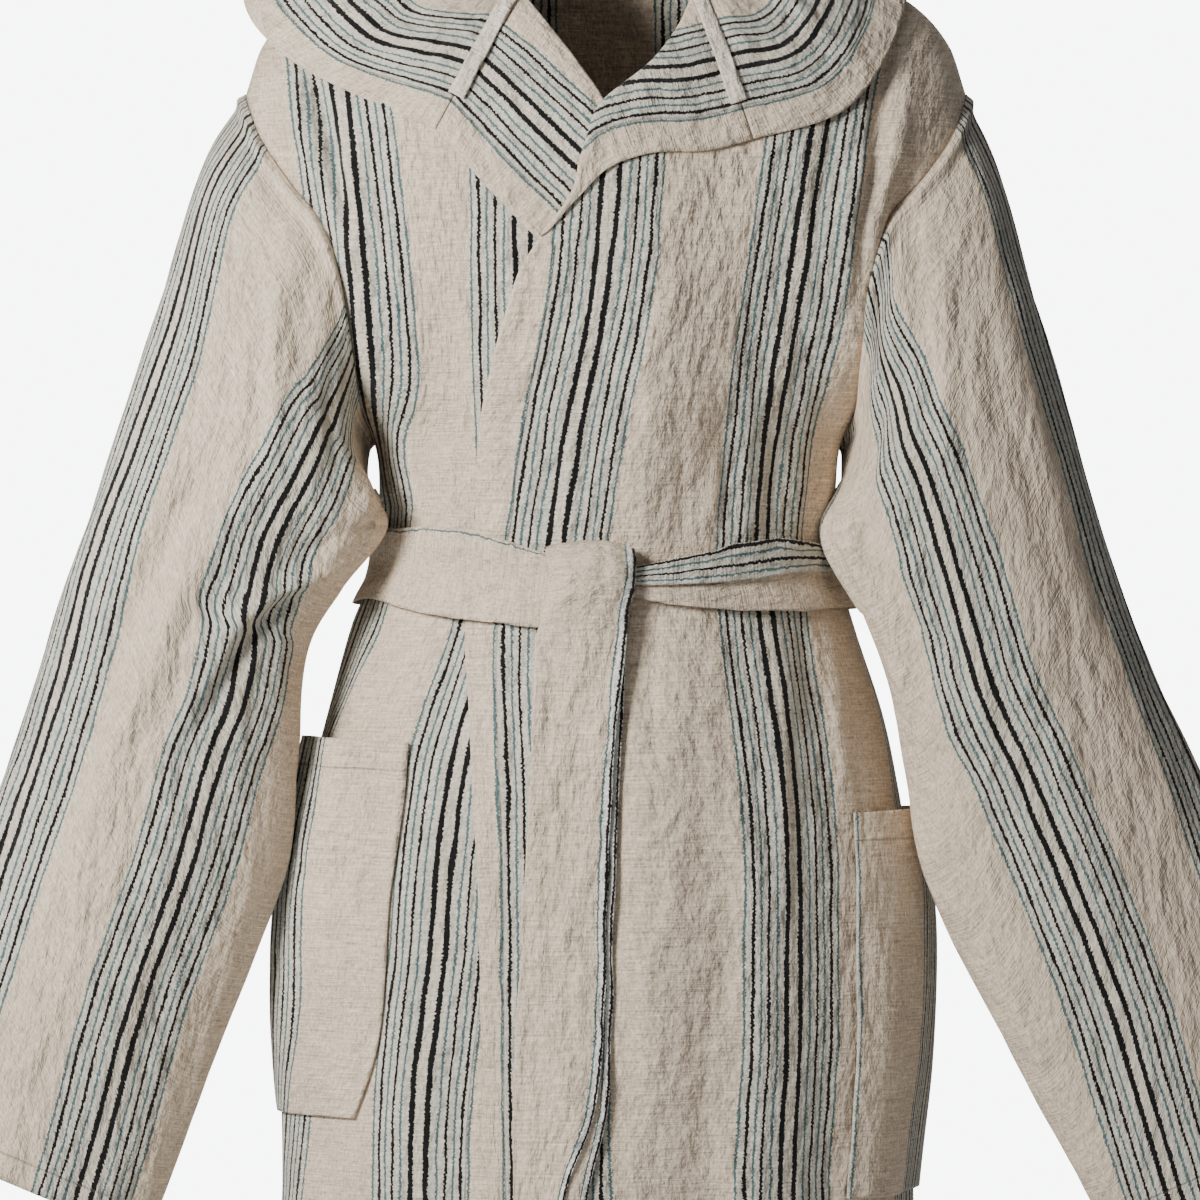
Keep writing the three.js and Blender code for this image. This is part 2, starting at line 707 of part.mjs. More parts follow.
// Sections of the hood, which lies turned out over the shoulders with its pouch behind. Each runs
// from the neck seam over the crest and down to the opening's edge.
function seamSection(side) {
  const at = (share) => onSeamLine(side, share, seamGap, turnedLift(share));
  return {
    neck: onSeamLine(side, 0.01, seamGap + 0.5, 1.6),
    crest: onSeamLine(side, -0.04, seamGap + 1, 4),
    fall: at(0.25),
    belly: at(0.5),
    rim: at(0.75),
    edge: at(1),
  };
}
const hoodSections = [
  seamSection("left"),
  {
    neck: onUnder(-60, 1, 1),
    crest: free(-57, -42, 12),
    fall: onUnder(-86, -20, 9),
    belly: onUnder(-118, -42, 9),
    rim: onUnder(-150, -62, 9),
    edge: onUnder(-182, -73, 7),
  },
  {
    neck: onUnder(-61.5, 12, 1),
    crest: free(-61, -23, 27),
    fall: onUnder(-94, 2, 12),
    belly: onUnder(-134, -12, 15),
    rim: onUnder(-176, -30, 18),
    edge: free(-222, -36, -42),
  },
  {
    neck: free(-62, 0, neckPointZ + 1),
    crest: free(-64, 0, 37),
    fall: free(-98, 0, 31),
    belly: free(-145, 0, 22),
    rim: free(-195, 0, 8),
    edge: free(-234, 0, -16),
  },
  {
    neck: onBackNeck(-50),
    crest: free(-56, 34, 28),
    fall: free(-92, 50, 10),
    belly: free(-128, 64, -12),
    rim: free(-168, 70, -34),
    edge: free(-205, 60, -54),
  },
  {
    neck: onBackNeck(-28),
    crest: free(-31, 57, 20),
    fall: free(-60, 93, -26),
    belly: free(-70, 121, -118),
    rim: free(-96, 138, -110),
    edge: free(-120, 122, -62),
  },
  {
    neck: onBackNeck(0),
    crest: free(0, 63, 17),
    fall: free(0, 101, -45),
    belly: free(0, 125, -188),
    rim: free(0, 152, -168),
    edge: free(0, 142, -74),
  },
  {
    neck: onBackNeck(28),
    crest: free(31, 57, 19),
    fall: free(58, 93, -28),
    belly: free(68, 120, -120),
    rim: free(92, 136, -112),
    edge: free(112, 120, -64),
  },
  {
    neck: onBackNeck(50),
    crest: free(56, 34, 27),
    fall: free(88, 50, 6),
    belly: free(118, 62, -20),
    rim: free(150, 68, -33),
    edge: free(179, 64, -42),
  },
  {
    neck: free(62, 0, neckPointZ + 1),
    crest: free(64, 0, 36),
    fall: free(92, 0, 26),
    belly: free(126, 0, 16),
    rim: free(163, 2, 8),
    edge: free(196, 4, -8),
  },
  {
    neck: onOver(61.5, 12, 1),
    crest: free(61, -23, 26),
    fall: onOver(86, 2, 8),
    belly: onOver(116, -14, 8),
    rim: onOver(146, -36, 7),
    edge: onOver(177, -60, 6),
  },
  {
    neck: onOver(60, 1, 1),
    crest: free(57, -42, 11),
    fall: onOver(78, -22, 8),
    belly: onOver(103, -47, 7),
    rim: onOver(126, -73, 6),
    edge: onOver(148, -99, 5),
  },
  seamSection("right"),
];
const hoodParts = ["neck", "crest", "fall", "belly", "rim", "edge"];
const hoodAcross = 3;
const hoodDown = 2;

function hoodPoint(around, down) {
  const line = hoodSections.map((section) => splineAt(hoodParts.map((part) => section[part]), down));
  return splineAt(line, around);
}

function hoodNormal(around, down) {
  const reach = 0.004;
  const turn = hoodPoint(around + reach, down).sub(hoodPoint(around - reach, down));
  const run = hoodPoint(around, down + reach).sub(hoodPoint(around, down - reach));
  return turn.cross(run).normalize();
}

function hood() {
  const cloth = new Cloth();
  const columns = hoodAcross * (hoodSections.length - 1);
  const rows = hoodDown * (hoodParts.length - 1);
  const grid = [];
  for (let r = 0; r <= rows; r += 1) {
    const down = r / rows;
    const line = [];
    for (let c = 0; c <= columns; c += 1) {
      const around = c / columns;
      const point = hoodPoint(around, down);
      line.push(cloth.add(point, point.clone().addScaledVector(hoodNormal(around, down), -wall)));
    }
    grid.push(line);
  }
  cloth.sheet(grid);
  keep("hood", cloth, shade.cream);
}
hood();

// The tape over the neck seam, where the seam crosses the turned-out cloth.
const tapeWidth = 13;
const tapeWall = 1;
const tapeEnd = 0.77;
const tapeRest = 1;
const tapeRise = 0.6;

// A place on the tape: half of it lies on the lapel and half on the hood beside it.
function tapePoint(side, share, aside, lift) {
  if (aside <= 0) return onSeamLine(side, share, aside, turnedLift(share) + lift);
  const start = side === "left" ? 0 : 1;
  const section = (side === "left" ? 1 : -1) / (hoodSections.length - 1);
  const down = (1 + (hoodParts.length - 2) * share) / (hoodParts.length - 1);
  const width = hoodPoint(start, down).distanceTo(hoodPoint(start + section, down));
  const around = start + (section * aside) / width;
  return hoodPoint(around, down).addScaledVector(hoodNormal(around, down), lift + tapeRise);
}

function neckTape(name, side) {
  const cloth = new Cloth();
  const grid = [];
  for (let r = 0; r <= 10; r += 1) {
    const share = lerp(0.02, tapeEnd, r / 10);
    const line = [];
    for (let c = 0; c <= 2; c += 1) {
      const aside = lerp(-tapeWidth, tapeWidth, c / 2) / 2;
      const outer = tapePoint(side, share, aside, tapeRest + tapeWall);
      line.push(cloth.add(outer, tapePoint(side, share, aside, tapeRest)));
    }
    grid.push(line);
  }
  cloth.sheet(grid);
  keep(name, cloth, shade.tape);
}
neckTape("neck_tape_left", "right");
neckTape("neck_tape_right", "left");

// A strip of cloth on the body, given row by row as places and heights above the panels.
function strip(name, rows, columns, placeAt, material) {
  const cloth = new Cloth();
  const reach = 0.004;
  const pointAt = (down, across) => {
    const { angle, z, lift } = placeAt(clamp(down, 0, 1), clamp(across, 0, 1));
    return lifted(angle, z, lift);
  };
  const normalAt = (down, across) => {
    const run = pointAt(down + reach, across).sub(pointAt(down - reach, across));
    const turn = pointAt(down, across + reach).sub(pointAt(down, across - reach));
    return run.cross(turn).normalize();
  };
  const middle = placeAt(0.5, 0.5);
  const outward = Math.sign(normalAt(0.5, 0.5).dot(bodyNormal(middle.angle, middle.z)));
  const grid = [];
  for (let r = 0; r <= rows; r += 1) {
    const line = [];
    for (let c = 0; c <= columns; c += 1) {
      const point = pointAt(r / rows, c / columns);
      const inner = point.clone().addScaledVector(normalAt(r / rows, c / columns), -outward * wall);
      line.push(cloth.add(point, inner));
    }
    grid.push(line);
  }
  cloth.sheet(grid);
  keep(name, cloth, material);
}

// The belt's way from behind the knot round the wearer's right, the back and the wearer's left
// to the knot again, with its upper and lower edge.
const beltLine = [
  { angle: 98, top: -378, bottom: -424 },
  { angle: 104, top: -376, bottom: -424 },
  { angle: 123, top: -363, bottom: -419 },
  { angle: 134, top: -360, bottom: -416 },
  { angle: 157, top: -360, bottom: -407 },
  { angle: 180, top: -361, bottom: -410 },
  { angle: 270, top: -360, bottom: -414 },
  { angle: 360, top: -366, bottom: -413 },
  { angle: 377, top: -374, bottom: -412 },
  { angle: 411, top: -373, bottom: -414 },
  { angle: 434, top: -381, bottom: -410 },
  { angle: 445, top: -385, bottom: -404 },
];
const beltLift = 4.4;
const panelLift = (x, z) => lapHeight(x, z) * step(-116, -92, x);
strip("belt_wrap", 48, 2, (share, across) => {
  const turn = lerp(beltLine[0].angle, beltLine[beltLine.length - 1].angle, share);
  const z = lerp(readAt(beltLine, "angle", "top", turn), readAt(beltLine, "angle", "bottom", turn), across);
  const angle = turn > 270 ? (turn - 360) * degree : turn * degree;
  const { x } = bodyPoint(angle, z);
  const lap = Math.sin(angle) > 0 ? panelLift(x, z) : 0;
  return { angle, z, lift: lap + beltLift };
}, shade.pale);

// The belt's upper part, folded over its face beside the knot.
const beltFold = [
  { x: 14, top: -385, bottom: -397 },
  { x: 50, top: -378, bottom: -397 },
  { x: 94, top: -368, bottom: -393 },
  { x: 120, top: -368, bottom: -389 },
  { x: 142, top: -372, bottom: -388 },
];
strip("belt_fold", 12, 2, (share, across) => {
  const x = lerp(beltFold[0].x, beltFold[beltFold.length - 1].x, share);
  const z = lerp(readAt(beltFold, "x", "top", x), readAt(beltFold, "x", "bottom", x), across);
  return { angle: angleOf(x, z), z, lift: panelLift(x, z) + beltLift + wall + 3 * restGap };
}, shade.cream);

// The knot: one turn of the belt that comes up behind it, rolls over its upper edge and falls
// into the front tail. Its sides close in on the belt.
const knotRows = [
  { row: 0, z: -372, lift: 2.5, left: -34, right: 16 },
  { row: 1, z: -368, lift: 6.5, left: -35, right: 17 },
  { row: 2, z: -369, lift: 11, left: -36, right: 18 },
  { row: 3, z: -375, lift: 15.5, left: -36, right: 18 },
  { row: 4, z: -386, lift: 18.5, left: -35, right: 18 },
  { row: 5, z: -400, lift: 19, left: -36, right: 17 },
  { row: 6, z: -414, lift: 16.5, left: -39, right: 14 },
  { row: 7, z: -428, lift: 12.5, left: -42, right: 13 },
];
const knotSideLift = { left: 8, right: 13 };
const knotPleats = 4;
strip("belt_knot", 14, 12, (share, across) => {
  const row = share * (knotRows.length - 1);
  const at = (column) => readAt(knotRows, "row", column, row);
  const x = lerp(at("left"), at("right"), across);
  const z = at("z");
  const side = Math.abs(2 * across - 1) ** 3;
  const sideLift = lerp(knotSideLift.left, knotSideLift.right, across);
  const lift = lerp(at("lift"), Math.min(at("lift"), sideLift), side);
  const pleat = 1.3 * step(0, 2, row) * (1 - share) * Math.cos(2 * Math.PI * knotPleats * across) * (1 - side);
  return { angle: angleOf(x, z), z, lift: panelLift(x, z) + lift + pleat };
}, shade.pale);

// The two tails, which hang one over the other on the lapping front.
const tails = {
  front: [
    { z: -429, left: -42, right: 13, lift: 12.3 },
    { z: -467, left: -44, right: 10, lift: 8.8 },
    { z: -528, left: -47, right: 4, lift: 6.2 },
    { z: -602, left: -51, right: 1, lift: 6.8 },
    { z: -663, left: -54, right: -1, lift: 5.6 },
    { z: -724, left: -55, right: -8, lift: 6.6 },
    { z: -790, left: -56, right: -26, lift: 6.4 },
    { z: -860, left: -60, right: -20, lift: 6.2 },
    { z: -930, left: -66, right: -12, lift: 6.4 },
  ],
  behind: [
    { z: -424, left: -34, right: 12, lift: 7.4 },
    { z: -467, left: -34, right: 12, lift: 5 },
    { z: -528, left: -38, right: 9, lift: 2.7 },
    { z: -602, left: -42, right: 6, lift: 4.4 },
    { z: -663, left: -44, right: 4, lift: 2.7 },
    { z: -724, left: -46, right: 0, lift: 4.2 },
    { z: -790, left: -50, right: -12, lift: 4 },
    { z: -890, left: -52, right: -4, lift: 3.8 },
  ],
};
for (const [name, rows] of Object.entries(tails))
  strip(`belt_tail_${name}`, 14, 3, (share, across) => {
    const z = lerp(rows[0].z, rows[rows.length - 1].z, share);
    const at = (column) => readAt(rows, "z", column, z);
    const x = lerp(at("left"), at("right"), across);
    return { angle: angleOf(x, z), z, lift: lapHeight(x, z) + at("lift") };
  }, shade.pale);

// Patch pockets at the sides: the inner edge in the front view, and the angle they reach round to.
const pockets = {
  left: {
    reach: -25,
    rest: 2.2,
    inner: [
      { z: -541, x: 154 },
      { z: -620, x: 156 },
      { z: -700, x: 155 },
      { z: -784, x: 150 },
    ],
  },
  right: {
    reach: 195,
    rest: 1.2,
    inner: [
      { z: -496, x: -122 },
      { z: -528, x: -124 },
      { z: -598, x: -134 },
      { z: -681, x: -140 },
      { z: -733, x: -157 },
    ],
  },
};
const pocketPuff = 11;
for (const [name, { reach, rest, inner }] of Object.entries(pockets))
  strip(`pocket_${name}`, 8, 8, (share, across) => {
    const z = lerp(inner[0].z, inner[inner.length - 1].z, share);
    const start = angleOf(readAt(inner, "z", "x", z), z);
    const puff = pocketPuff * Math.sin(Math.PI * across) ** 1.3 * Math.cos((Math.PI * share) / 2) ** 0.8;
    return { angle: lerp(start, reach * degree, across), z, lift: wall + rest + puff };
  }, shade.pale);

export default robe;
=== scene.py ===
import math

import bmesh
import bpy
import numpy as np
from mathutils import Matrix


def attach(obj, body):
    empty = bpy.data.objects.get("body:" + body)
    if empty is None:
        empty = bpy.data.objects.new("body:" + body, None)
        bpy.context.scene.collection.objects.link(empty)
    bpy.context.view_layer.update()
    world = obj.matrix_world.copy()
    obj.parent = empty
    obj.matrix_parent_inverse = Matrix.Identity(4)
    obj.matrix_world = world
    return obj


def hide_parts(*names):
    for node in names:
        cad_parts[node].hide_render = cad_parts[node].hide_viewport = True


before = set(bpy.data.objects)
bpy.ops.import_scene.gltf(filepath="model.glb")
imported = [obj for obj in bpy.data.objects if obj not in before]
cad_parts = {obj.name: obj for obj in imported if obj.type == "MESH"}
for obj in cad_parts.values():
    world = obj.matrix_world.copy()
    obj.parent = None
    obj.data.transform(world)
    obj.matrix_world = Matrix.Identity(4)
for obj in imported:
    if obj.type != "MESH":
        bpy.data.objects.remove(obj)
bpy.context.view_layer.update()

MM = 0.001
CLOTH = 1.3
HEM_Z = -1180.0
UNDERARM_Z = -300.0
SEAM_GAP = 0.6
WALL = 1.8
REST_GAP = 0.4
ROLL_RADIUS = 1.6
NECK_HALF = 62.0
NECK_POINT_Z = 22.0
BACK_NECK_DROP = 23.0
TIP_X = 232.0
TIP_Z = -80.0
SQUARENESS = 2.2


def lerp(a, b, t):
    return a + (b - a) * t


def step(start, end, value):
    """0 up to one place, 1 from another, and a smooth step between them."""
    t = np.clip((value - start) / (end - start), 0, 1)
    return t * t * (3 - 2 * t)


class Table:
    """Rows under named columns, read smoothly between rows by the first column."""

    def __init__(self, columns, *rows):
        self.columns = columns.split()
        self.rows = np.array(rows, float)
        if self.rows[0, 0] > self.rows[-1, 0]:
            self.rows = self.rows[::-1]

    def __getitem__(self, column):
        return self.rows[:, self.columns.index(column)]

    def at(self, column, place):
        x, y = self.rows[:, 0], self[column]
        after = np.minimum(np.arange(len(x)) + 1, len(x) - 1)
        before = np.maximum(np.arange(len(x)) - 1, 0)
        slope = (y[after] - y[before]) / (x[after] - x[before])
        place = np.clip(place, x[0], x[-1])
        i = np.clip(np.searchsorted(x, place) - 1, 0, len(x) - 2)
        span = x[i + 1] - x[i]
        t = (place - x[i]) / span
        bend = slope[i] * t * (1 - t) ** 2 - slope[i + 1] * t * t * (1 - t)
        return lerp(y[i], y[i + 1], t * t * (3 - 2 * t)) + span * bend


# Outline of the trunk: half-widths at the left and right of the view, depth of front and back.
TRUNK = Table(
    "z left right front back",
    (40, 320, 320, 104, 90),
    (-60, 306, 306, 108, 95),
    (-145, 266, 266, 114, 100),
    (-190, 240, 240, 117, 101),
    (-240, 203, 203, 118, 101),
    (-270, 176, 176, 117, 100),
    (-300, 151, 151, 114, 98),
    (-340, 146, 147, 107, 95),
    (-385, 149, 150, 103, 92),
    (-421, 164, 160, 106, 97),
    (-480, 181, 180, 110, 106),
    (-530, 194, 191, 113, 111),
    (-575, 202, 198, 115, 114),
    (-626, 208, 203, 117, 118),
    (-700, 209, 203, 120, 122),
    (-790, 207, 198, 124, 128),
    (-900, 212, 204, 130, 136),
    (HEM_Z, 236, 230, 144, 154),
)
SHOULDER = Table(
    "x z",
    (0, 24),
    (NECK_HALF, NECK_POINT_Z),
    (120, 8),
    (170, -8),
    (200, -24),
    (222, -50),
    (TIP_X, TIP_Z),
)
ARMHOLE = Table(
    "z x",
    (TIP_Z, TIP_X),
    (-90, 229),
    (-114, 219),
    (-145, 197),
    (-165, 180),
    (-205, 164),
    (-250, 156),
    (UNDERARM_Z, 151),
)
SIDE_SEAM = Table("z angle", (UNDERARM_Z, 0), (-420, 0), (-540, 28), (HEM_Z, 28))
YOKE = {"front": (170, 0.7), "back": (150, 0.5)}

# Free edge of each front below its break, the roll line of its lapel and the turned-out edge.
OVER_EDGE = Table(
    "z x",
    (-181, -42),
    (-201, -54),
    (-242, -66),
    (-297, -79),
    (-359, -82),
    (-421, -88),
    (-504, -84),
    (-602, -79),
    (-675, -77),
    (-790, -72),
    (HEM_Z, -58),
)
UNDER_EDGE = Table(
    "z x",
    (-225, 0),
    (-380, -2),
    (-419, -13),
    (-492, -36),
    (-565, -47),
    (-675, -57),
    (-749, -62),
    (-860, -52),
    (HEM_Z, -30),
)
OVER_ROLL = ((-42, -181), (-21, -154), (-12, -126), (-2, -100), (28, -73), (47, -46), (58, -19))
OVER_TURNED = ((-42, -181), (-33, -172), (-15, -153), (2, -137), (24, -129), (63, -125), (92, -117))
UNDER_ROLL = ((0, -225), (4, -180), (3, -140), (-1, -100), (-18, -72), (-38, -45), (-58, -19))
UNDER_TURNED = ((0, -225), (-14, -210), (-42, -181), (-74, -148), (-92, -127), (-106, -111))

# Soft ridges and troughs of the fronts that the solid has too.
FRONT_FOLDS = (
    # top x, top z, foot x, foot z, rise, width
    (166, -120, 141, -372, 11, 15),
    (190, -128, 168, -230, -7, 11),
    (-168, -120, -138, -345, 9, 15),
    (118, -150, 60, -372, -4, 22),
    (-118, -150, -96, -372, -4, 20),
    (38, -190, 20, -375, 3, 18),
    (36, -412, 44, -780, 4, 20),
    (96, -412, 104, -1150, 6, 26),
    (62, -560, 70, -1200, -5, 24),
    (-112, -412, -136, -900, 5, 20),
    (-20, -640, -4, -1200, 6, 30),
)
# Finer creases of the fronts: gathers at the belt and drag lines from shoulder and armhole.
FRONT_CREASES = (
    # top x, top z, foot x, foot z, rise, width
    (128, -262, 118, -374, 2.6, 5),
    (110, -300, 104, -374, -2.2, 5),
    (92, -248, 88, -374, 2.0, 6),
    (70, -312, 66, -374, 1.8, 4),
    (46, -286, 48, -374, -1.8, 5),
    (22, -322, 24, -374, 1.6, 4),
    (-24, -300, -22, -374, 1.7, 5),
    (-58, -316, -56, -374, -1.4, 4),
    (-100, -290, -98, -372, 2.2, 5),
    (-118, -250, -112, -370, -2.4, 6),
    (-132, -268, -126, -366, 2.6, 5),
    (140, -412, 152, -530, 2.8, 6),
    (124, -414, 132, -500, -2.4, 5),
    (108, -414, 112, -620, 2.4, 7),
    (84, -414, 84, -480, -1.8, 5),
    (64, -414, 66, -560, 2.0, 6),
    (28, -420, 30, -520, -1.6, 5),
    (-66, -420, -64, -560, 2.0, 5),
    (-96, -420, -104, -500, -2.0, 5),
    (-118, -418, -132, -560, 2.4, 6),
    (-134, -416, -152, -490, -2.4, 5),
    (-148, -412, -176, -600, 2.6, 7),
    (176, -96, 150, -168, 2.4, 6),
    (150, -84, 128, -190, -2.0, 8),
    (-176, -96, -150, -166, 2.2, 6),
    (-196, -112, -166, -190, -2.2, 6),
    (122, -128, 132, -250, 1.8, 8),
    (-136, -150, -124, -262, 1.8, 8),
    (-190, -62, -158, -178, -9.0, 6),
    (-203, -70, -172, -176, 5.0, 9),
    (180, -58, 152, -232, -7.0, 6),
    (194, -66, 168, -205, 5.0, 8),
    (176, -620, 168, -900, 3.2, 12),
    (140, -700, 146, -1000, -2.6, 12),
    (20, -480, 26, -760, 1.8, 9),
    (120, -780, 128, -1170, 3.0, 14),
    (-160, -640, -170, -940, 3.0, 12),
    (-104, -700, -98, -1170, -3.0, 14),
    (-40, -820, -46, -1170, 2.8, 14),
)
# The same on the back, by the angle behind the wearer's left side.
BACK_CREASES = (
    # top angle, top z, foot angle, foot z, rise, width
    (28, -240, 34, -366, 2.4, 6),
    (50, -190, 46, -366, -2.2, 8),
    (66, -280, 66, -366, 2.2, 5),
    (84, -230, 80, -366, 2.0, 6),
    (98, -300, 98, -366, -2.0, 5),
    (114, -220, 112, -366, 2.4, 7),
    (132, -270, 128, -366, -2.2, 6),
    (150, -250, 144, -366, 2.4, 6),
    (30, -414, 36, -560, 2.4, 6),
    (52, -414, 48, -500, -2.0, 5),
    (76, -414, 74, -640, 2.6, 7),
    (96, -414, 99, -520, 2.0, 5),
    (118, -414, 122, -680, -2.6, 8),
    (146, -414, 142, -580, 2.4, 6),
    (60, -60, 40, -200, 2.4, 10),
    (120, -60, 142, -200, 2.4, 10),
    (90, -90, 88, -260, -1.8, 14),
    (40, -700, 44, -1150, 3.4, 16),
    (104, -760, 100, -1160, -3.4, 16),
    (140, -800, 138, -1150, 3.2, 14),
)
SKIRT_WAVES = Table(
    "z back side",
    (-300, 0, 0),
    (-385, 2, 0),
    (-450, 5, 1),
    (-600, 8, 3),
    (-900, 10, 6),
    (HEM_Z, 13, 9),
)
BACK_FOLDS = 5
SIDE_FOLDS = 3
LAP_LIFT = Table(
    "z lift",
    (-40, 0),
    (-95, 8),
    (-228, 8),
    (-285, 3.4),
    (-430, 3.4),
    (-520, 5),
    (HEM_Z, 5),
)

SLEEVES = {
    "left": Table(
        "step out_x out_z in_x in_z mid_y depth",
        (0, -232, -80, -151, -300, 0, 150),
        (1, -257, -126, -150, -331, -34, 134),
        (2, -283, -216, -138, -360, -60, 110),
        (3, -309, -293, -166, -398, -63, 102),
        (4, -342, -392, -189, -438, -60, 100),
        (5, -367, -470, -195, -508, -56, 98),
        (6, -388, -532, -206, -585, -56, 94),
        (7, -420, -632, -242, -680, -58, 86),
        (8, -455, -739, -289, -810, -60, 78),
    ),
    "right": Table(
        "step out_x out_z in_x in_z mid_y depth",
        (0, 232, -80, 151, -300, 0, 150),
        (1, 250, -128, 151, -333, -28, 134),
        (2, 270, -205, 144, -366, -54, 116),
        (3, 291, -280, 158, -402, -60, 104),
        (4, 319, -375, 177, -450, -58, 100),
        (5, 345, -445, 191, -514, -56, 98),
        (6, 380, -520, 204, -586, -56, 94),
        (7, 425, -630, 260, -698, -58, 86),
        (8, 468, -743, 322, -811, -60, 78),
    ),
}
# Creases of the sleeves: around is in degrees from the outer edge over the front.
SLEEVE_CREASES = {
    "left": (
        # start around, start step, end around, end step, rise, width
        (70, 0.2, 96, 2.4, 3.2, 8),
        (112, 0.3, 128, 2.2, -3.0, 8),
        (40, 0.8, 62, 4.2, 2.6, 10),
        (148, 1.0, 140, 3.2, 3.4, 7),
        (164, 1.6, 120, 3.4, -3.2, 6),
        (168, 2.4, 96, 4.4, 4.6, 7),
        (140, 3.3, 104, 5.0, -6.0, 7),
        (128, 3.4, 88, 5.4, 5.0, 7),
        (60, 4.4, 84, 7.6, 2.8, 11),
        (120, 5.2, 124, 7.9, -2.6, 10),
        (30, 5.0, 34, 7.9, -2.2, 9),
        (96, 2.6, 72, 5.6, 4.4, 8),
        (84, 2.2, 60, 4.6, -3.8, 7),
        (70, 3.6, 56, 6.4, -3.6, 7),
        (210, 0.6, 226, 3.0, 3.0, 9),
        (250, 1.2, 236, 4.6, -3.0, 9),
        (300, 0.8, 286, 5.0, 2.8, 11),
        (200, 2.4, 262, 4.4, 3.2, 7),
        (208, 3.8, 276, 5.6, -2.8, 7),
        (240, 5.0, 232, 7.9, 2.6, 10),
        (290, 5.2, 296, 7.9, -2.4, 10),
    ),
    "right": (
        (64, 0.2, 90, 2.6, 3.0, 9),
        (104, 0.3, 132, 2.0, -3.0, 8),
        (136, 0.6, 150, 2.8, 3.0, 7),
        (44, 1.0, 52, 4.6, 2.6, 11),
        (158, 0.7, 152, 4.6, 5.0, 7),
        (182, 0.9, 176, 3.3, 7.0, 16),
        (141, 0.8, 136, 4.4, -4.6, 6),
        (168, 1.8, 110, 3.8, 3.2, 6),
        (160, 3.0, 92, 4.8, -2.8, 7),
        (166, 3.8, 104, 5.6, 3.0, 7),
        (76, 3.4, 92, 7.8, 2.6, 12),
        (120, 5.0, 112, 7.9, -2.8, 10),
        (148, 5.6, 146, 7.9, 2.6, 9),
        (28, 4.4, 30, 7.9, -2.0, 9),
        (208, 0.6, 230, 2.8, 3.0, 9),
        (252, 1.0, 238, 4.2, -3.0, 9),
        (296, 0.8, 290, 4.8, 2.8, 11),
        (204, 2.6, 258, 4.6, 3.0, 7),
        (236, 4.8, 244, 7.9, 2.6, 10),
        (284, 5.4, 280, 7.9, -2.4, 10),
    ),
}

# Soft unevenness of the cloth, from cells of seeded random heights.
NOISE_CELLS = 96
CRUMPLES = (
    # height, cell across, cell along, slant
    (1.3, 46, 80, 0),
    (0.8, 21, 52, 0.3),
    (0.3, 9, 17, 0),
)
CRUMPLE_SEEDS = {"body": 11, "left sleeve": 31, "right sleeve": 41, "hood": 51}
RIPPLES = {
    # height, cell across, cell along, seed
    "lapel": (0.9, 16, 22, 5),
    "belt": (0.9, 26, 9, 61),
    "knot": (0.9, 5, 20, 71),
    "tail": (0.9, 11, 60, 81),
    "tail threads": (0.5, 6, 26, 83),
}


def among_four(values, i0, i1, j0, j1, s, t):
    """Between four entries of a table, by shares along its two indices."""
    return lerp(lerp(values[i0, j0], values[i1, j0], s), lerp(values[i0, j1], values[i1, j1], s), t)


def soft_noise(across, along, cell_across, cell_along, seed):
    heights = np.random.default_rng(seed).uniform(-1, 1, (NOISE_CELLS, NOISE_CELLS))
    a = across / cell_across + NOISE_CELLS
    b = along / cell_along + NOISE_CELLS
    i, j = np.floor(a).astype(int), np.floor(b).astype(int)
    s, t = a - i, b - j
    s, t = s * s * (3 - 2 * s), t * t * (3 - 2 * t)
    i, j, after_i, after_j = (k % NOISE_CELLS for k in (i, j, i + 1, j + 1))
    return among_four(heights, i, after_i, j, after_j, s, t)


def crumple(across, along, piece):
    rise = 0
    for i, (height, cell_across, cell_along, slant) in enumerate(CRUMPLES):
        seed = CRUMPLE_SEEDS[piece] + i
        rise = rise + height * soft_noise(across + slant * along, along, cell_across, cell_along, seed)
    return rise


def ripple(name, across, along):
    height, *cells_and_seed = RIPPLES[name]
    return height * soft_noise(across, along, *cells_and_seed)


CREASE_TAPER = 0.6


def crease_rise(creases, across, along):
    """Sum of ridges and troughs between two places each, tapering to both ends."""
    rise = np.zeros(np.broadcast(across, along).shape)
    for start_a, start_b, end_a, end_b, height, width in creases:
        share = np.clip((start_b - along) / (start_b - end_b), 0, 1)
        off = (across - lerp(start_a, end_a, share)) / width
        rise = rise + height * np.sin(math.pi * share) ** CREASE_TAPER * np.exp(-off * off)
    return rise


def shoulder_z(x):
    return SHOULDER.at("z", np.abs(x))


def side_width(angle, z):
    return np.where(np.cos(angle) < 0, TRUNK.at("left", z), TRUNK.at("right", z))


def roundness(angle):
    return np.sqrt(np.maximum(1 - np.abs(np.cos(angle)) ** SQUARENESS, 0))


def face_depth(angle, z):
    return np.where(np.sin(angle) < 0, TRUNK.at("back", z), TRUNK.at("front", z))


def points(x, y, z):
    return np.stack(np.broadcast_arrays(x, y, z), -1).astype(float)


def lengths_along(grid, axis):
    """Distance along each line of a grid, from its start."""
    steps = np.linalg.norm(np.diff(grid, axis=axis), axis=-1)
    start = np.zeros_like(np.take(steps, [0], axis=axis))
    return np.concatenate([start, np.cumsum(steps, axis=axis)], axis=axis)


def unit(vectors):
    return vectors / np.maximum(np.linalg.norm(vectors, axis=-1, keepdims=True), 1e-9)


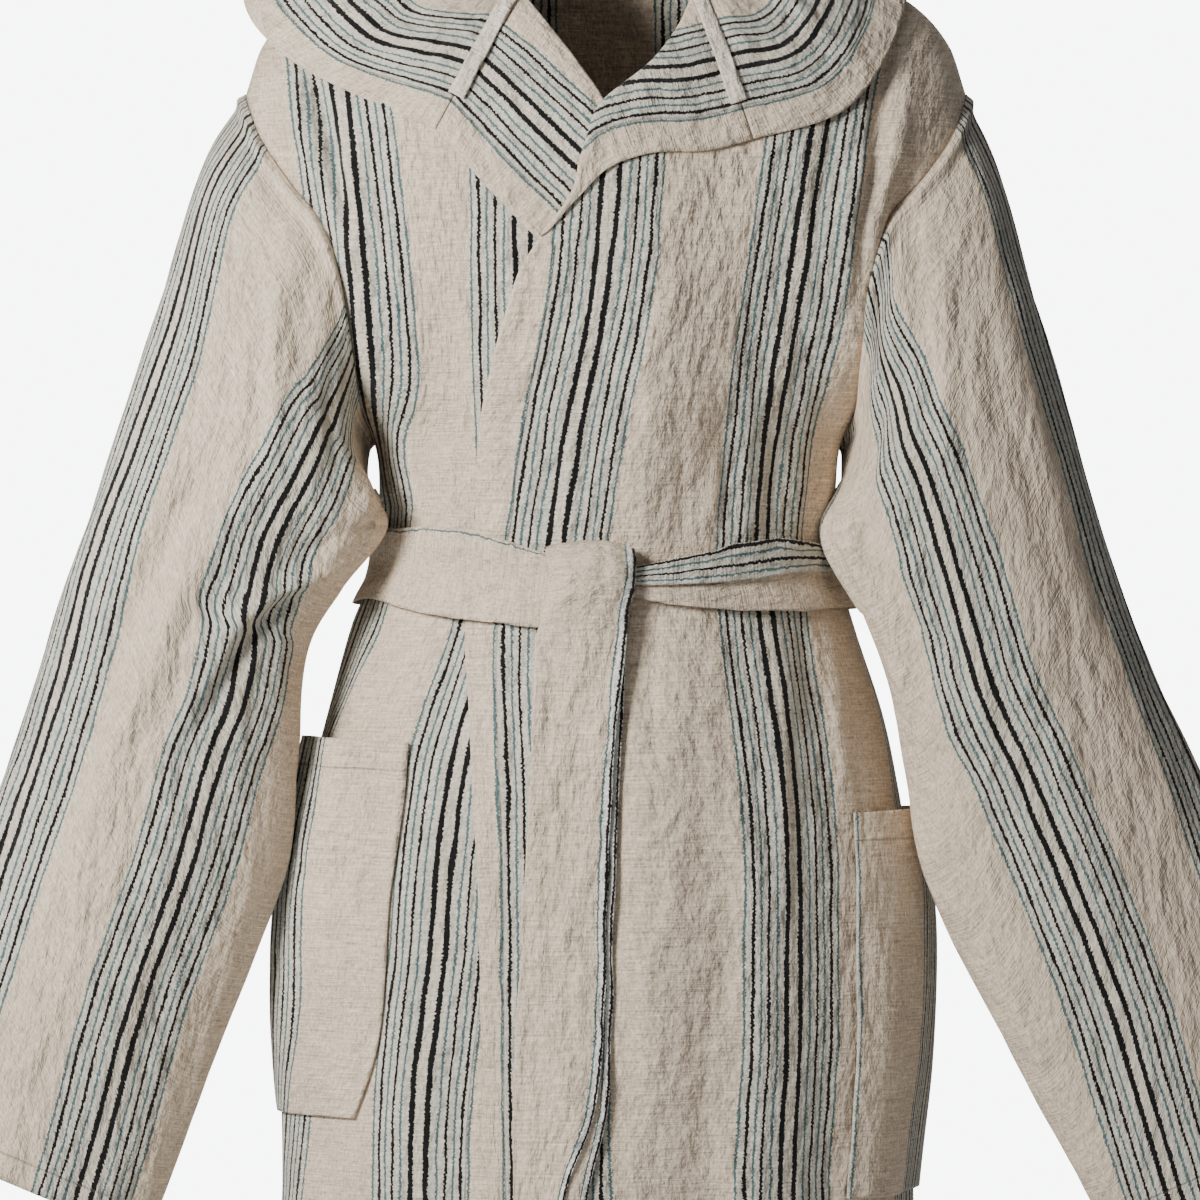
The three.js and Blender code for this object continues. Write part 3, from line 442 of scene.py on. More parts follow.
# Shares of the way round, as sines of the angle, over which the folds come in.
FADES = {
    "back": (0.05, 0.6),
    "side": (0.5, 0.95),
    "front": (0, 0.45),
    "creases": (0.05, 0.4),
    "crumples": (0, 0.3),
}
WAVE_LEAN = 260
BACK_RADIUS = 130
BACK_START = 900
MM_PER_DEGREE = 2
SHOULDER_FADE = (0, 30)
LAP_EDGE = (15, 90)
CREASES_BY_ANGLE = [(*ends, rise, width / MM_PER_DEGREE) for *ends, rise, width in BACK_CREASES]


def drape(angle, x, z):
    """How far the cloth stands out of the plain trunk, in folds, creases and crumples."""
    forward = np.sin(angle)
    behind = forward < 0
    back = step(*FADES["back"], -forward)
    side = step(*FADES["side"], np.abs(np.cos(angle))) * (1 - back)
    back_wave = SKIRT_WAVES.at("back", z) * np.cos(2 * BACK_FOLDS * (angle + math.pi / 2))
    side_wave = SKIRT_WAVES.at("side", z) * np.sin(2 * SIDE_FOLDS * angle + z / WAVE_LEAN)
    rise = back * back_wave + side * side_wave
    front_rise = crease_rise(FRONT_FOLDS, x, z) + crease_rise(FRONT_CREASES, x, z)
    rise = rise + step(*FADES["front"], forward) * front_rise
    back_rise = np.where(behind, crease_rise(CREASES_BY_ANGLE, -np.degrees(angle), z), 0)
    rise = rise + back_rise * step(*FADES["creases"], -forward)
    around = np.where(behind, BACK_START + BACK_RADIUS * angle, x)
    return rise + crumple(around, z, "body") * step(*FADES["crumples"], np.abs(forward))


def body_point(angle, z):
    """The body's cloth, by the angle round the trunk from the wearer's left over the front."""
    x = np.cos(angle) * side_width(angle, z)
    behind = np.sin(angle) < 0
    height, sharpness = (np.where(behind, *pair) for pair in zip(YOKE["back"], YOKE["front"]))
    below = shoulder_z(x) - z
    drop = np.clip(below, 0, height)
    fall = (1 - (1 - drop / height) ** 2) ** sharpness
    depth = face_depth(angle, z)
    y = depth * roundness(angle) * fall
    out = unit(points(np.cos(angle) / side_width(angle, z), -np.sin(angle) / depth, 0 * x))
    rise = drape(angle, x, z) * step(*SHOULDER_FADE, below)
    return points(x, np.where(behind, y, -y), z) + out * rise[..., None]


def body_normal(angle, z):
    turn, rise = 0.012, 2.0
    across = body_point(angle + turn, z) - body_point(angle - turn, z)
    along = body_point(angle, z + rise) - body_point(angle, z - rise)
    return unit(np.cross(along, across))


def lifted(angle, z, lift):
    return body_point(angle, z) + body_normal(angle, z) * np.asarray(lift)[..., None]


def angle_of(x, z, behind=False):
    width = np.where(x < 0, TRUNK.at("left", z), TRUNK.at("right", z))
    angle = np.arccos(np.clip(x / width, -1, 1))
    return -angle if behind else angle


def lap_height(x, z):
    return LAP_LIFT.at("lift", z) * (1 - step(*LAP_EDGE, x))


# Distance round the trunk from the middle of the front, for the stripes.
ANGLES = np.radians(np.linspace(-215, 215, 431))
HEIGHTS = np.linspace(HEM_Z, 30, 122)


def girth_table():
    angle, z = np.meshgrid(ANGLES, HEIGHTS)
    depth = face_depth(angle, z)
    x = np.cos(angle) * side_width(angle, z)
    y = -depth * np.sign(np.sin(angle)) * roundness(angle)
    total = lengths_along(points(x, y, 0 * x), 1)
    middle = total[:, [np.argmin(np.abs(ANGLES - math.pi / 2))]]
    return middle - total


GIRTH = girth_table()


def girth(angle, z):
    """Distance round the trunk from the middle of the front, towards +X, without the folds."""
    a = np.clip((angle - ANGLES[0]) / (ANGLES[1] - ANGLES[0]), 0, len(ANGLES) - 1.001)
    b = np.clip((z - HEIGHTS[0]) / (HEIGHTS[1] - HEIGHTS[0]), 0, len(HEIGHTS) - 1.001)
    i, j = a.astype(int), b.astype(int)
    s, t = a - i, b - j
    return among_four(GIRTH.T, i, i + 1, j, j + 1, s, t)


def path_at(path, share):
    """A path in the front view, read by the share of its length."""
    path = np.array(path, float)
    length = np.concatenate([[0], np.cumsum(np.hypot(*np.diff(path, axis=0).T))])
    table = Table("length x z", *np.column_stack([length, path]))
    return table.at("x", share * length[-1]), table.at("z", share * length[-1])


# Making the meshes
NO_HEM = 200.0  # a distance past every hem
WELD = 0.02


def grid_normals(grid):
    turn = np.gradient(grid, axis=1)
    run = np.gradient(grid, axis=0)
    return np.cross(turn, run)


class Sheet:
    """One or more grids of cloth welded into a mesh, with the stripes' coordinates in millimetres."""

    def __init__(self):
        self.points, self.faces, self.across, self.along, self.hem = [], [], [], [], []

    def add(self, grid, across, along, outward, hem=NO_HEM):
        rows, columns = grid.shape[:2]
        start = sum(len(p) for p in self.points)
        index = start + np.arange(rows * columns).reshape(rows, columns)
        a, b = index[:-1, :-1].ravel(), index[:-1, 1:].ravel()
        c, d = index[1:, 1:].ravel(), index[1:, :-1].ravel()
        quads = np.column_stack([a, b, c, d])
        if np.sum(grid_normals(grid) * outward) < 0:
            quads = quads[:, ::-1]
        self.points.append(grid.reshape(-1, 3))
        self.faces.append(quads)
        for kept, value in ((self.across, across), (self.along, along), (self.hem, hem)):
            kept.append(np.broadcast_to(value, (rows, columns)).ravel())
        return self

    def lay(self, angle, z, lift, across, along, hem=NO_HEM):
        """Adds a grid that lies on the body's cloth."""
        return self.add(lifted(angle, z, lift), across, along, body_normal(angle, z), hem)

    def build(self, name, material, thickness=CLOTH):
        mesh = bpy.data.meshes.new(name)
        corners = np.concatenate(self.points) * MM
        faces = np.concatenate(self.faces)
        mesh.from_pydata(corners.tolist(), [], faces.tolist())
        weave = mesh.uv_layers.new(name="weave")
        loops = np.zeros(len(mesh.loops), dtype=np.int32)
        mesh.loops.foreach_get("vertex_index", loops)
        across = np.concatenate(self.across)[loops]
        along = np.concatenate(self.along)[loops]
        weave.data.foreach_set("uv", np.column_stack([across, along]).ravel())
        hem = mesh.attributes.new("hem", "FLOAT", "POINT")
        hem.data.foreach_set("value", np.concatenate(self.hem))
        made = bmesh.new()
        made.from_mesh(mesh)
        bmesh.ops.remove_doubles(made, verts=made.verts, dist=WELD * MM)
        made.to_mesh(mesh)
        made.free()
        mesh.shade_smooth()
        mesh.materials.append(material)
        piece = bpy.data.objects.new(f"{name}_cloth", mesh)
        bpy.context.scene.collection.objects.link(piece)
        wall = piece.modifiers.new("wall", "SOLIDIFY")
        wall.thickness = thickness * MM
        wall.offset = -1
        return piece


def declare(piece, nodes):
    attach(piece, "root")
    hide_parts(*([nodes] if isinstance(nodes, str) else nodes))


# Materials
def linear(red, green, blue):
    """An 8-bit display colour as the linear values that the shader takes."""
    value = np.array([red, green, blue]) / 255
    return (*np.where(value <= 0.04045, value / 12.92, ((value + 0.055) / 1.055) ** 2.4), 1.0)


CREAM = linear(212, 193, 169)
WARM = linear(202, 192, 173)
PALE = linear(196, 190, 175)
WHITE = linear(222, 219, 209)
BLACK = linear(20, 18, 18)
BLUE = linear(84, 106, 106)
# Painted shade for the dip along each hem's line of stitches
STITCH_DIP_SHADE = linear(112, 98, 82)


class Shader:
    """A small builder of node graphs."""

    def __init__(self, name):
        self.material = bpy.data.materials.new(name)
        self.material.use_nodes = True
        self.tree = self.material.node_tree
        self.surface = self.tree.nodes["Principled BSDF"]

    def put(self, target, value):
        if isinstance(value, bpy.types.NodeSocket):
            self.tree.links.new(value, target)
        else:
            target.default_value = value

    def node(self, kind, output=0, settings=(), **inputs):
        made = self.tree.nodes.new(kind)
        for key, value in dict(settings).items():
            setattr(made, key, value)
        for key, value in inputs.items():
            self.put(made.inputs[key.replace("_", " ")], value)
        return made.outputs[output]

    def math(self, operation, *values):
        made = self.tree.nodes.new("ShaderNodeMath")
        made.operation = operation
        for socket, value in zip(made.inputs, values):
            self.put(socket, value)
        return made.outputs[0]

    def mix(self, share, first, second, blend="MIX"):
        made = self.tree.nodes.new("ShaderNodeMix")
        made.data_type = "RGBA"
        made.blend_type = blend
        self.put(made.inputs["Factor"], share)
        self.put(made.inputs[6], first)
        self.put(made.inputs[7], second)
        return made.outputs[2]

    def noise(self, x, y, detail, seed):
        place = self.node("ShaderNodeCombineXYZ", X=x, Y=y, Z=seed)
        return self.node("ShaderNodeTexNoise", Vector=place, Scale=1.0, Detail=detail, Roughness=0.55)

    def ramp(self, value, stops, constant=False):
        made = self.tree.nodes.new("ShaderNodeValToRGB")
        ramp = made.color_ramp
        ramp.interpolation = "CONSTANT" if constant else "LINEAR"
        while len(ramp.elements) < len(stops):
            ramp.elements.new(0.5)
        for element, (place, colour) in zip(ramp.elements, stops):
            element.position = place
            element.color = colour
        self.put(made.inputs[0], value)
        return made.outputs[0]


def bands(chart, ground, width):
    """Stops of a ramp: each line's middle, half-width and colour on its ground."""
    stops = [(0.0, ground)]
    for middle, half, colour, after in chart:
        stops.append(((middle - half) / width, colour))
        stops.append(((middle + half) / width, after))
    return stops


# The stripes: lines by their distance from the middle of a group, to the middle of the plain cloth.
REPEAT = 130.0
FIRST_GROUP = 53.0
GROUP_CHART = (
    # middle, half-width, colour, ground beyond
    (4.7, 1.75, BLACK, PALE),
    (11.6, 0.7, BLUE, PALE),
    (17.0, 1.0, BLACK, PALE),
    (22.2, 0.7, BLUE, PALE),
    (27.3, 1.0, BLACK, PALE),
    (32.4, 0.75, BLUE, CREAM),
)
GROUP_HALF = 34.0
# The weave's layers, as shares of the colour and heights in the bump.
# Where a layer has a rise, its colour is darker where the bump is low and lighter where it is high:
# painted shade and light on the relief of the yarn, crinkle and creases, over the yarn's own uneven
# tone.
# The last layer only lightens and darkens the colour in large soft patches, with no bump.
WEAVE = (
    # cell across, cell along, detail, seed, shade, rise
    (24.0, 1.3, 1.0, 7.0, 0.40, 0.40),  # weft
    (1.6, 4.2, 1.0, 11.0, 0.42, 0.34),  # crinkled warp
    (1.3, 1.9, 1.0, 19.0, 0.36, 0.20),  # specks
    (6.0, 11.0, 3.0, 23.0, 0.16, 1.5),  # crinkle
    (17.0, 34.0, 2.0, 27.0, 0.06, 4.2),  # soft creases
    (60.0, 90.0, 3.0, 15.0, 0.16, 0.0),  # unevenness
)
SLUB_ABOVE, SLUB_SHADE, SLUB_RISE = 0.22, 1.5, 0.6
HEM_WIDTH = 22.0
HEM_RISE = 0.5
STITCH_HALF = 0.7
STITCH_SHADE = 0.3
SURFACE = {"Roughness": 0.94, "Sheen Weight": 0.12, "Sheen Roughness": 0.5, "Specular IOR Level": 0.2}


def stripes_between(reach, first, second):
    """Stripes' coordinate with two groups in their places. Only the plain cloth between gives."""
    near = FIRST_GROUP + reach - first
    share = (reach - first - GROUP_HALF) / (second - first - 2 * GROUP_HALF)
    middle = FIRST_GROUP + GROUP_HALF + share * (REPEAT - 2 * GROUP_HALF)
    far = FIRST_GROUP + REPEAT + reach - second
    return np.select([reach < first + GROUP_HALF, reach < second - GROUP_HALF], [near, middle], far)


def cloth_surface(shader, colour_of):
    """Colour, weave, slubs and hem stitching of the cotton, with painted shade in the weave's hollows
    and along the stitches. colour_of takes distance and length.
    """
    put, calc = shader.put, shader.math
    weave = shader.node("ShaderNodeUVMap", settings={"uv_map": "weave"})
    split = shader.tree.nodes.new("ShaderNodeSeparateXYZ")
    put(split.inputs[0], weave)
    across, along = split.outputs[0], split.outputs[1]

    def noise(cell_across, cell_along, detail, seed):
        """Noise in cells of that many millimetres, from -1 to 1."""
        place = calc("DIVIDE", across, cell_across), calc("DIVIDE", along, cell_along)
        raw = shader.noise(*place, detail, seed)
        return calc("MULTIPLY", calc("SUBTRACT", raw, 0.5), 2.0)

    # The warp wanders, and jumps a little from one weft thread to the next
    drift = calc("MULTIPLY", noise(9.0, 34.0, 3.0, 0.0), 1.7)
    jump = calc("MULTIPLY", noise(5.0, 1.4, 1.0, 2.0), 1.5)
    sway = calc("ADD", drift, jump)
    colour = colour_of(shader, calc("ADD", across, sway), along)
    light, height = 1.0, 0.0
    for *layer, shade, rise in WEAVE:
        value = noise(*layer)
        light = calc("ADD", light, calc("MULTIPLY", value, shade))
        height = calc("ADD", height, calc("MULTIPLY", value, rise))
    # Slubs, thick places in the weft, stand up and are lighter: partly the yarn's own tone, partly
    # painted light on the raised yarn
    slub = calc("MAXIMUM", calc("SUBTRACT", noise(15.0, 1.0, 1.0, 9.0), SLUB_ABOVE), 0.0)
    light = calc("ADD", light, calc("MULTIPLY", slub, SLUB_SHADE))
    height = calc("ADD", height, calc("MULTIPLY", slub, SLUB_RISE))
    grey = shader.node("ShaderNodeCombineColor", Red=light, Green=light, Blue=light)
    colour = shader.mix(1.0, colour, grey, "MULTIPLY")
    # The line of stitches that holds each hem: the cloth dips along it, and its colour is darkened there
    # as painted shade of the dip
    hem = shader.node("ShaderNodeAttribute", 2, {"attribute_name": "hem"})
    from_stitch = calc("ABSOLUTE", calc("SUBTRACT", hem, HEM_WIDTH))
    stitch = calc("LESS_THAN", from_stitch, STITCH_HALF)
    colour = shader.mix(calc("MULTIPLY", stitch, STITCH_SHADE), colour, STITCH_DIP_SHADE)
    put(shader.surface.inputs["Base Color"], colour)
    for name, value in SURFACE.items():
        put(shader.surface.inputs[name], value)
    dip = calc("SUBTRACT", 1.0, calc("MINIMUM", from_stitch, 1.0))
    height = calc("SUBTRACT", height, calc("MULTIPLY", dip, STITCH_HALF))
    height = calc("ADD", height, calc("MULTIPLY", calc("LESS_THAN", hem, HEM_WIDTH), HEM_RISE))
    bump = shader.node("ShaderNodeBump", Height=height, Distance=MM, Strength=0.9)
    put(shader.surface.inputs["Normal"], bump)
    return shader.material


def striped(name):
    def colour_of(shader, place, along):
        from_group = shader.math("PINGPONG", shader.math("SUBTRACT", place, FIRST_GROUP), REPEAT / 2)
        share = shader.math("DIVIDE", from_group, REPEAT / 2)
        return shader.ramp(share, bands(GROUP_CHART, WARM, REPEAT / 2), constant=True)

    return cloth_surface(Shader(name), colour_of)


BELT_WIDTH = 56.0
BELT_CHART = ((2.0, 0.6, BLUE, CREAM),)
TAIL_CHART = (
    (49.8, 0.7, BLUE, WHITE),
    (54.5, 1.0, BLACK, WHITE),
)


def belted(name, chart):
    def colour_of(shader, place, along):
        share = shader.math("DIVIDE", place, BELT_WIDTH)
        return shader.ramp(share, bands(chart, CREAM, BELT_WIDTH), constant=True)

    return cloth_surface(Shader(name), colour_of)


def plain(name, colour):
    return cloth_surface(Shader(name), lambda shader, place, along: colour)


STRIPED = striped("striped_cotton")
BELTED = belted("belt_cotton", BELT_CHART)
TAILED = belted("belt_end_cotton", TAIL_CHART)
TAPE = plain("cotton_tape", linear(222, 208, 190))


# The fronts
def armhole_place(share, sign):
    z = lerp(TIP_Z, UNDERARM_Z, (1 - np.cos(math.pi * share)) / 2)
    return sign * ARMHOLE.at("x", z), z


def patch(edges, across, up):
    """A patch between four edges in the front view."""
    foot, top, side, free = (edges[k] for k in ("foot", "top", "side", "free"))
    zero, one = np.zeros(1), np.ones(1)
    out = []
    for k in (0, 1):
        f, t = foot(across)[k], top(across)[k]
        s, e = side(up)[k], free(up)[k]
        corners = lerp(
            lerp(foot(zero)[k], foot(one)[k], across), lerp(top(zero)[k], top(one)[k], across), up
        )
        out.append(lerp(f, t, up) + lerp(s, e, across) - corners)
    return out


LOWER_ROWS = 190
UPPER_SHARE = 9
ARMHOLE_STEPS = 12
ROWS_UP = ARMHOLE_STEPS * UPPER_SHARE

# Places of the stripes on the fronts in the view: the cloth's edge and the middle of two groups.
OVER_STRIPES = Table(
    "z edge first second",
    (-20, -44, 9, 152),
    (-112, -47, 5, 134),
    (-216, -58, -4, 118),
    (-297, -79, -20, 106),
    (-370, -82, -31, 99),
    (-425, -88, -37, 102),
    (-534, -83, -34, 115),
    (-662, -78, -32, 117),
    (-790, -72, -30, 112),
    (HEM_Z, -58, -14, 128),
)
UNDER_STRIPES = Table(
    "z edge first second",
    (-20, 0, -54, -178),
    (-105, 0, -53, -166),
    (-214, 0, -52, -152),
    (-300, 0, -52, -143),
    (-360, 0, -53, -141),
    (-419, -13, -66, -158),
    (-492, -36, -89, -184),
    (-565, -47, -100, -200),
    (-626, -50, -105, -202),
    (-749, -62, -117, -203),
    (HEM_Z, -60, -116, -222),
)


def stripe_place(stripes, sign, angle, z):
    """Distance across the cloth from a front's edge, kept to the stripes' places in the view."""
    reach = sign * girth(angle, z)
    knots = []
    for column in ("edge", "first", "second"):
        x = stripes.at(column, z)
        knots.append(sign * girth(angle_of(x, z), z))
    edge, first, second = knots
    to_edge = (reach - edge) / (first - GROUP_HALF - edge) * (FIRST_GROUP - GROUP_HALF)
    return np.where(reach < first - GROUP_HALF, to_edge, stripes_between(reach, first, second))


TURNED_COLUMNS = 26
TURNED_STAND = 1.2
TURNED_REACH = 0.4
ROLL_STEPS = 6
ROLL_GROWTH = 0.3
LAPEL_LENGTH = 260
EDGE_HEM_REACH = 40
SEAM_OPENS = (0, 40)


def turned_lift(across):
    return lerp(2 * ROLL_RADIUS + WALL, REST_GAP + WALL + TURNED_STAND, across)


def lapel(sheet, spec):
    """Adds the cloth round the roll line and out over the chest."""
    roll, turned, lift, (_, roll_rows, _) = (spec[k] for k in ("roll", "turned", "lift", "rows"))
    share = np.linspace(0, 1, roll_rows * UPPER_SHARE + 1)[:, None]
    at_x, at_z = path_at(roll, share)
    end_x, end_z = path_at(turned, share)
    size = step(0, ROLL_GROWTH, share)
    radius = ROLL_RADIUS * size
    base = angle_of(at_x, at_z)
    normal = body_normal(base, at_z)
    middle = body_point(base, at_z) + normal * (lift(at_x, at_z) + radius)[..., None]
    inward = points(at_x - end_x, 0 * at_x, at_z - end_z)
    inward = unit(inward - normal * np.sum(inward * normal, -1, keepdims=True))
    turn = math.pi * np.arange(ROLL_STEPS + 1) / (ROLL_STEPS + 1)
    swing = np.sin(turn)[None, :, None] * inward - np.cos(turn)[None, :, None] * normal
    rolled = middle + radius[..., None] * swing
    out = np.linspace(0, 1, TURNED_COLUMNS)[None, :]
    x, z = lerp(at_x, end_x, out), lerp(at_z, end_z, out)
    rest = lift(x, z) + lerp(2 * radius + WALL, turned_lift(out), step(0, TURNED_REACH, out) * size)
    rest = rest + np.sin(math.pi * out) * ripple("lapel", at_x + 0 * out, z)
    grid = np.concatenate([rolled, lifted(angle_of(x, z), z, rest - WALL)], axis=1)
    from_edge = lengths_along(grid[:, ::-1], 1)[:, ::-1]
    outward = np.broadcast_to(-normal, grid.shape)
    along = np.linspace(0, LAPEL_LENGTH, len(grid))[:, None]
    sheet.add(grid[1:], from_edge[1:], along[1:], outward[1:], from_edge[1:])


def front(name, spec):
    sign, lift, columns = spec["sign"], spec["lift"], spec["columns"]
    across = np.linspace(0, 1, columns + 1)[None, :]
    sheet = Sheet()
    # Below the underarm
    z = np.linspace(HEM_Z, UNDERARM_Z, LOWER_ROWS)[:, None]
    behind = np.radians(SIDE_SEAM.at("angle", z))
    clear = SEAM_GAP / TRUNK.at("front", z) * step(*SEAM_OPENS, UNDERARM_Z - z)
    side = -behind + clear if sign > 0 else math.pi + behind - clear
    edge_x = spec["edge"].at("x", z)
    angle = lerp(side, angle_of(edge_x, z), across)
    z = np.broadcast_to(z, angle.shape)
    height = lift(np.cos(angle) * side_width(angle, z), z)
    place = stripe_place(spec["stripes"], sign, angle, z)
    hem = np.minimum(z - HEM_Z, place)
    sheet.lay(angle, z, height, place, z, hem)
    # From the underarm up to the shoulder seam and the neck
    roll = spec["roll"]
    edge_rows, roll_rows, neck_rows = spec["rows"]
    foot_free = angle_of(spec["edge"].at("x", np.array(UNDERARM_Z)), UNDERARM_Z)

    def free(up):
        row = up * ARMHOLE_STEPS
        on_edge = lerp(UNDERARM_Z, roll[0][1], row / edge_rows)
        roll_x, roll_z = path_at(roll, np.clip((row - edge_rows) / roll_rows, 0, 1))
        share = np.clip((row - edge_rows - roll_rows) / neck_rows, 0, 1)
        neck_x = lerp(roll[-1][0], sign * NECK_HALF, share)
        neck_z = lerp(roll[-1][1], NECK_POINT_Z, share)
        kinds = [row <= edge_rows, row <= edge_rows + roll_rows]
        x = np.select(kinds, [spec["edge"].at("x", on_edge), roll_x], neck_x)
        return x, np.select(kinds, [on_edge, roll_z], neck_z)

    def foot(c):
        turn = lerp(0.0 if sign > 0 else math.pi, foot_free, c)
        width = TRUNK.at("right" if sign > 0 else "left", UNDERARM_Z)
        return np.cos(turn) * width, np.full_like(turn, UNDERARM_Z)

    def top(c):
        x = lerp(TIP_X, NECK_HALF, c)
        return sign * x, shoulder_z(x)

    edges = {"foot": foot, "top": top, "side": lambda up: armhole_place(1 - up, sign), "free": free}
    up = np.linspace(0, 1, ROWS_UP + 1)[:, None]
    x, z = patch(edges, across, up)
    z = np.minimum(z, shoulder_z(x))
    angle = angle_of(x, z)
    place = stripe_place(spec["stripes"], sign, angle, z)
    on_edge = (up * ARMHOLE_STEPS <= edge_rows) * np.ones_like(x)
    hem = np.where((on_edge > 0) & (place < EDGE_HEM_REACH), place, NO_HEM)
    sheet.lay(angle, z, lift(x, z), place, z, hem)
    lapel(sheet, spec)
    piece = sheet.build(name, STRIPED)
    declare(piece, name)


front(
    "front_over",
    {
        "sign": 1,
        "columns": 120,
        "edge": OVER_EDGE,
        "roll": OVER_ROLL,
        "turned": OVER_TURNED,
        "lift": lap_height,
        "rows": (3, 7, 2),
        "stripes": OVER_STRIPES,
        "flat": (0.52, 1.22),
        "area": 0.44,
        "rests_on": ["front_under"],
    },
)
front(
    "front_under",
    {
        "sign": -1,
        "columns": 100,
        "edge": UNDER_EDGE,
        "roll": UNDER_ROLL,
        "turned": UNDER_TURNED,
        "lift": lambda x, z: 0 * x,
        "rows": (2, 8, 2),
        "stripes": UNDER_STRIPES,
        "flat": (0.46, 1.22),
        "area": 0.34,
        "rests_on": ["back"],
    },
)


# The back
BACK_COLUMNS = 30
NECK_COLUMNS = 8
BACK_FINE = 5
BACK_STRIPES_START = 12


def from_spine(angle, z):
    """Distance round the back from its middle, as the stripes count it."""
    return girth(angle, z) - girth(-math.pi / 2 + 0 * z, z) - BACK_STRIPES_START


def back_neck_z(x):
    return NECK_POINT_Z - BACK_NECK_DROP * np.maximum(1 - (x / NECK_HALF) ** 2, 0) ** 0.8


def back():
    across = np.linspace(0, 1, BACK_COLUMNS * BACK_FINE + 1)[None, :]
    sheet = Sheet()
    z = np.linspace(HEM_Z, UNDERARM_Z, LOWER_ROWS)[:, None]
    clear = SEAM_GAP / TRUNK.at("back", z) * step(*SEAM_OPENS, UNDERARM_Z - z)
    behind = np.radians(SIDE_SEAM.at("angle", z)) + clear
    angle = -lerp(behind, math.pi - behind, across)
    z = np.broadcast_to(z, angle.shape)
    sheet.lay(angle, z, 0 * z, from_spine(angle, z), z, z - HEM_Z)
    shoulder_columns = (BACK_COLUMNS - NECK_COLUMNS) / 2

    def top(c):
        column = c * BACK_COLUMNS
        from_side = np.minimum(column, BACK_COLUMNS - column)
        turn = math.pi * (column - shoulder_columns) / NECK_COLUMNS
        outer = lerp(TIP_X, NECK_HALF, from_side / shoulder_columns)
        outer = np.where(column < BACK_COLUMNS / 2, outer, -outer)
        x = np.where(from_side <= shoulder_columns, outer, NECK_HALF * np.cos(turn))
        return x, np.where(np.abs(x) < NECK_HALF, back_neck_z(x), shoulder_z(x))

    def foot(c):
        turn = math.pi * c
        width = np.where(c < 0.5, TRUNK.at("right", UNDERARM_Z), TRUNK.at("left", UNDERARM_Z))
        return np.cos(turn) * width, np.full_like(turn, UNDERARM_Z)

    edges = {
        "foot": foot,
        "top": top,
        "side": lambda up: armhole_place(1 - up, 1),
        "free": lambda up: armhole_place(1 - up, -1),
    }
    up = np.linspace(0, 1, ROWS_UP + 1)[:, None]
    x, z = patch(edges, across, up)
    z = np.minimum(z, shoulder_z(x))
    angle = angle_of(x, z, behind=True)
    sheet.lay(angle, z, 0 * z, from_spine(angle, z), z)
    piece = sheet.build("back", STRIPED)
    declare(piece, "back")


back()


# The sleeves
FULLNESS = 1.2


def sleeve_section(side, around, along):
    table = SLEEVES[side]
    reach = (1 + np.cos(around)) / 2
    bulge = np.sign(np.sin(around)) * np.abs(np.sin(around)) ** FULLNESS
    x = lerp(table.at("in_x", along), table.at("out_x", along), reach)
    y = table.at("mid_y", along) - table.at("depth", along) / 2 * bulge
    return points(x, y, lerp(table.at("in_z", along), table.at("out_z", along), reach))


SLEEVE_ROWS = 190
SLEEVE_COLUMNS = 120
SLEEVE_STEPS = 8
# Middle of the outer group, as a distance round from the outer edge, and of the inner one, as x in view.
SLEEVE_STRIPES = {
    "left": Table(
        "z outer inner",
        (-80, 42, -122),
        (-150, 34, -137),
        (-190, 32, -147),
        (-214, 31, -155),
        (-240, 30, -160),
        (-278, 29, -173),
        (-329, 28, -195),
        (-355, 28, -209),
        (-380, 29, -219),
        (-432, 31, -230),
        (-470, 32, -236),
        (-508, 32, -251),
        (-547, 31, -262),
        (-585, 30, -273),
        (-662, 30, -300),
        (-760, 30, -327),
        (-830, 30, -348),
    ),
    "right": Table(
        "z outer inner",
        (-80, 20, 122),
        (-131, 12, 142),
        (-167, 9, 154),
        (-190, 7, 166),
        (-214, 6, 173),
        (-246, 4, 177),
        (-278, 2, 187),
        (-304, 0, 193),
        (-329, 0, 203),
        (-380, 0, 219),
        (-432, 0, 234),
        (-470, 3, 246),
        (-508, 6, 264),
        (-547, 9, 280),
        (-585, 12, 296),
        (-662, 14, 326),
        (-726, 14, 346),
        (-830, 14, 378),
    ),
}
# The sleeves' faces are that much nearer than the body, so they look larger in the view.
NEARER = 1.02
VIEW_LEVEL = -406.0
STEP_LENGTH = 100
SLEEVE_DEGREES_PER_MM = 0.85
CRUMPLE_RADIUS = 160
SEAM_REACH = 2  # steps along over which the sleeve leaves the armhole's own line
CREASES_START = 0.6
SEAM_ROLL_RISE, SEAM_ROLL_PLACE, SEAM_ROLL_WIDTH = 3.2, 7, 5
CUFF_HEM_SHIFT = 6


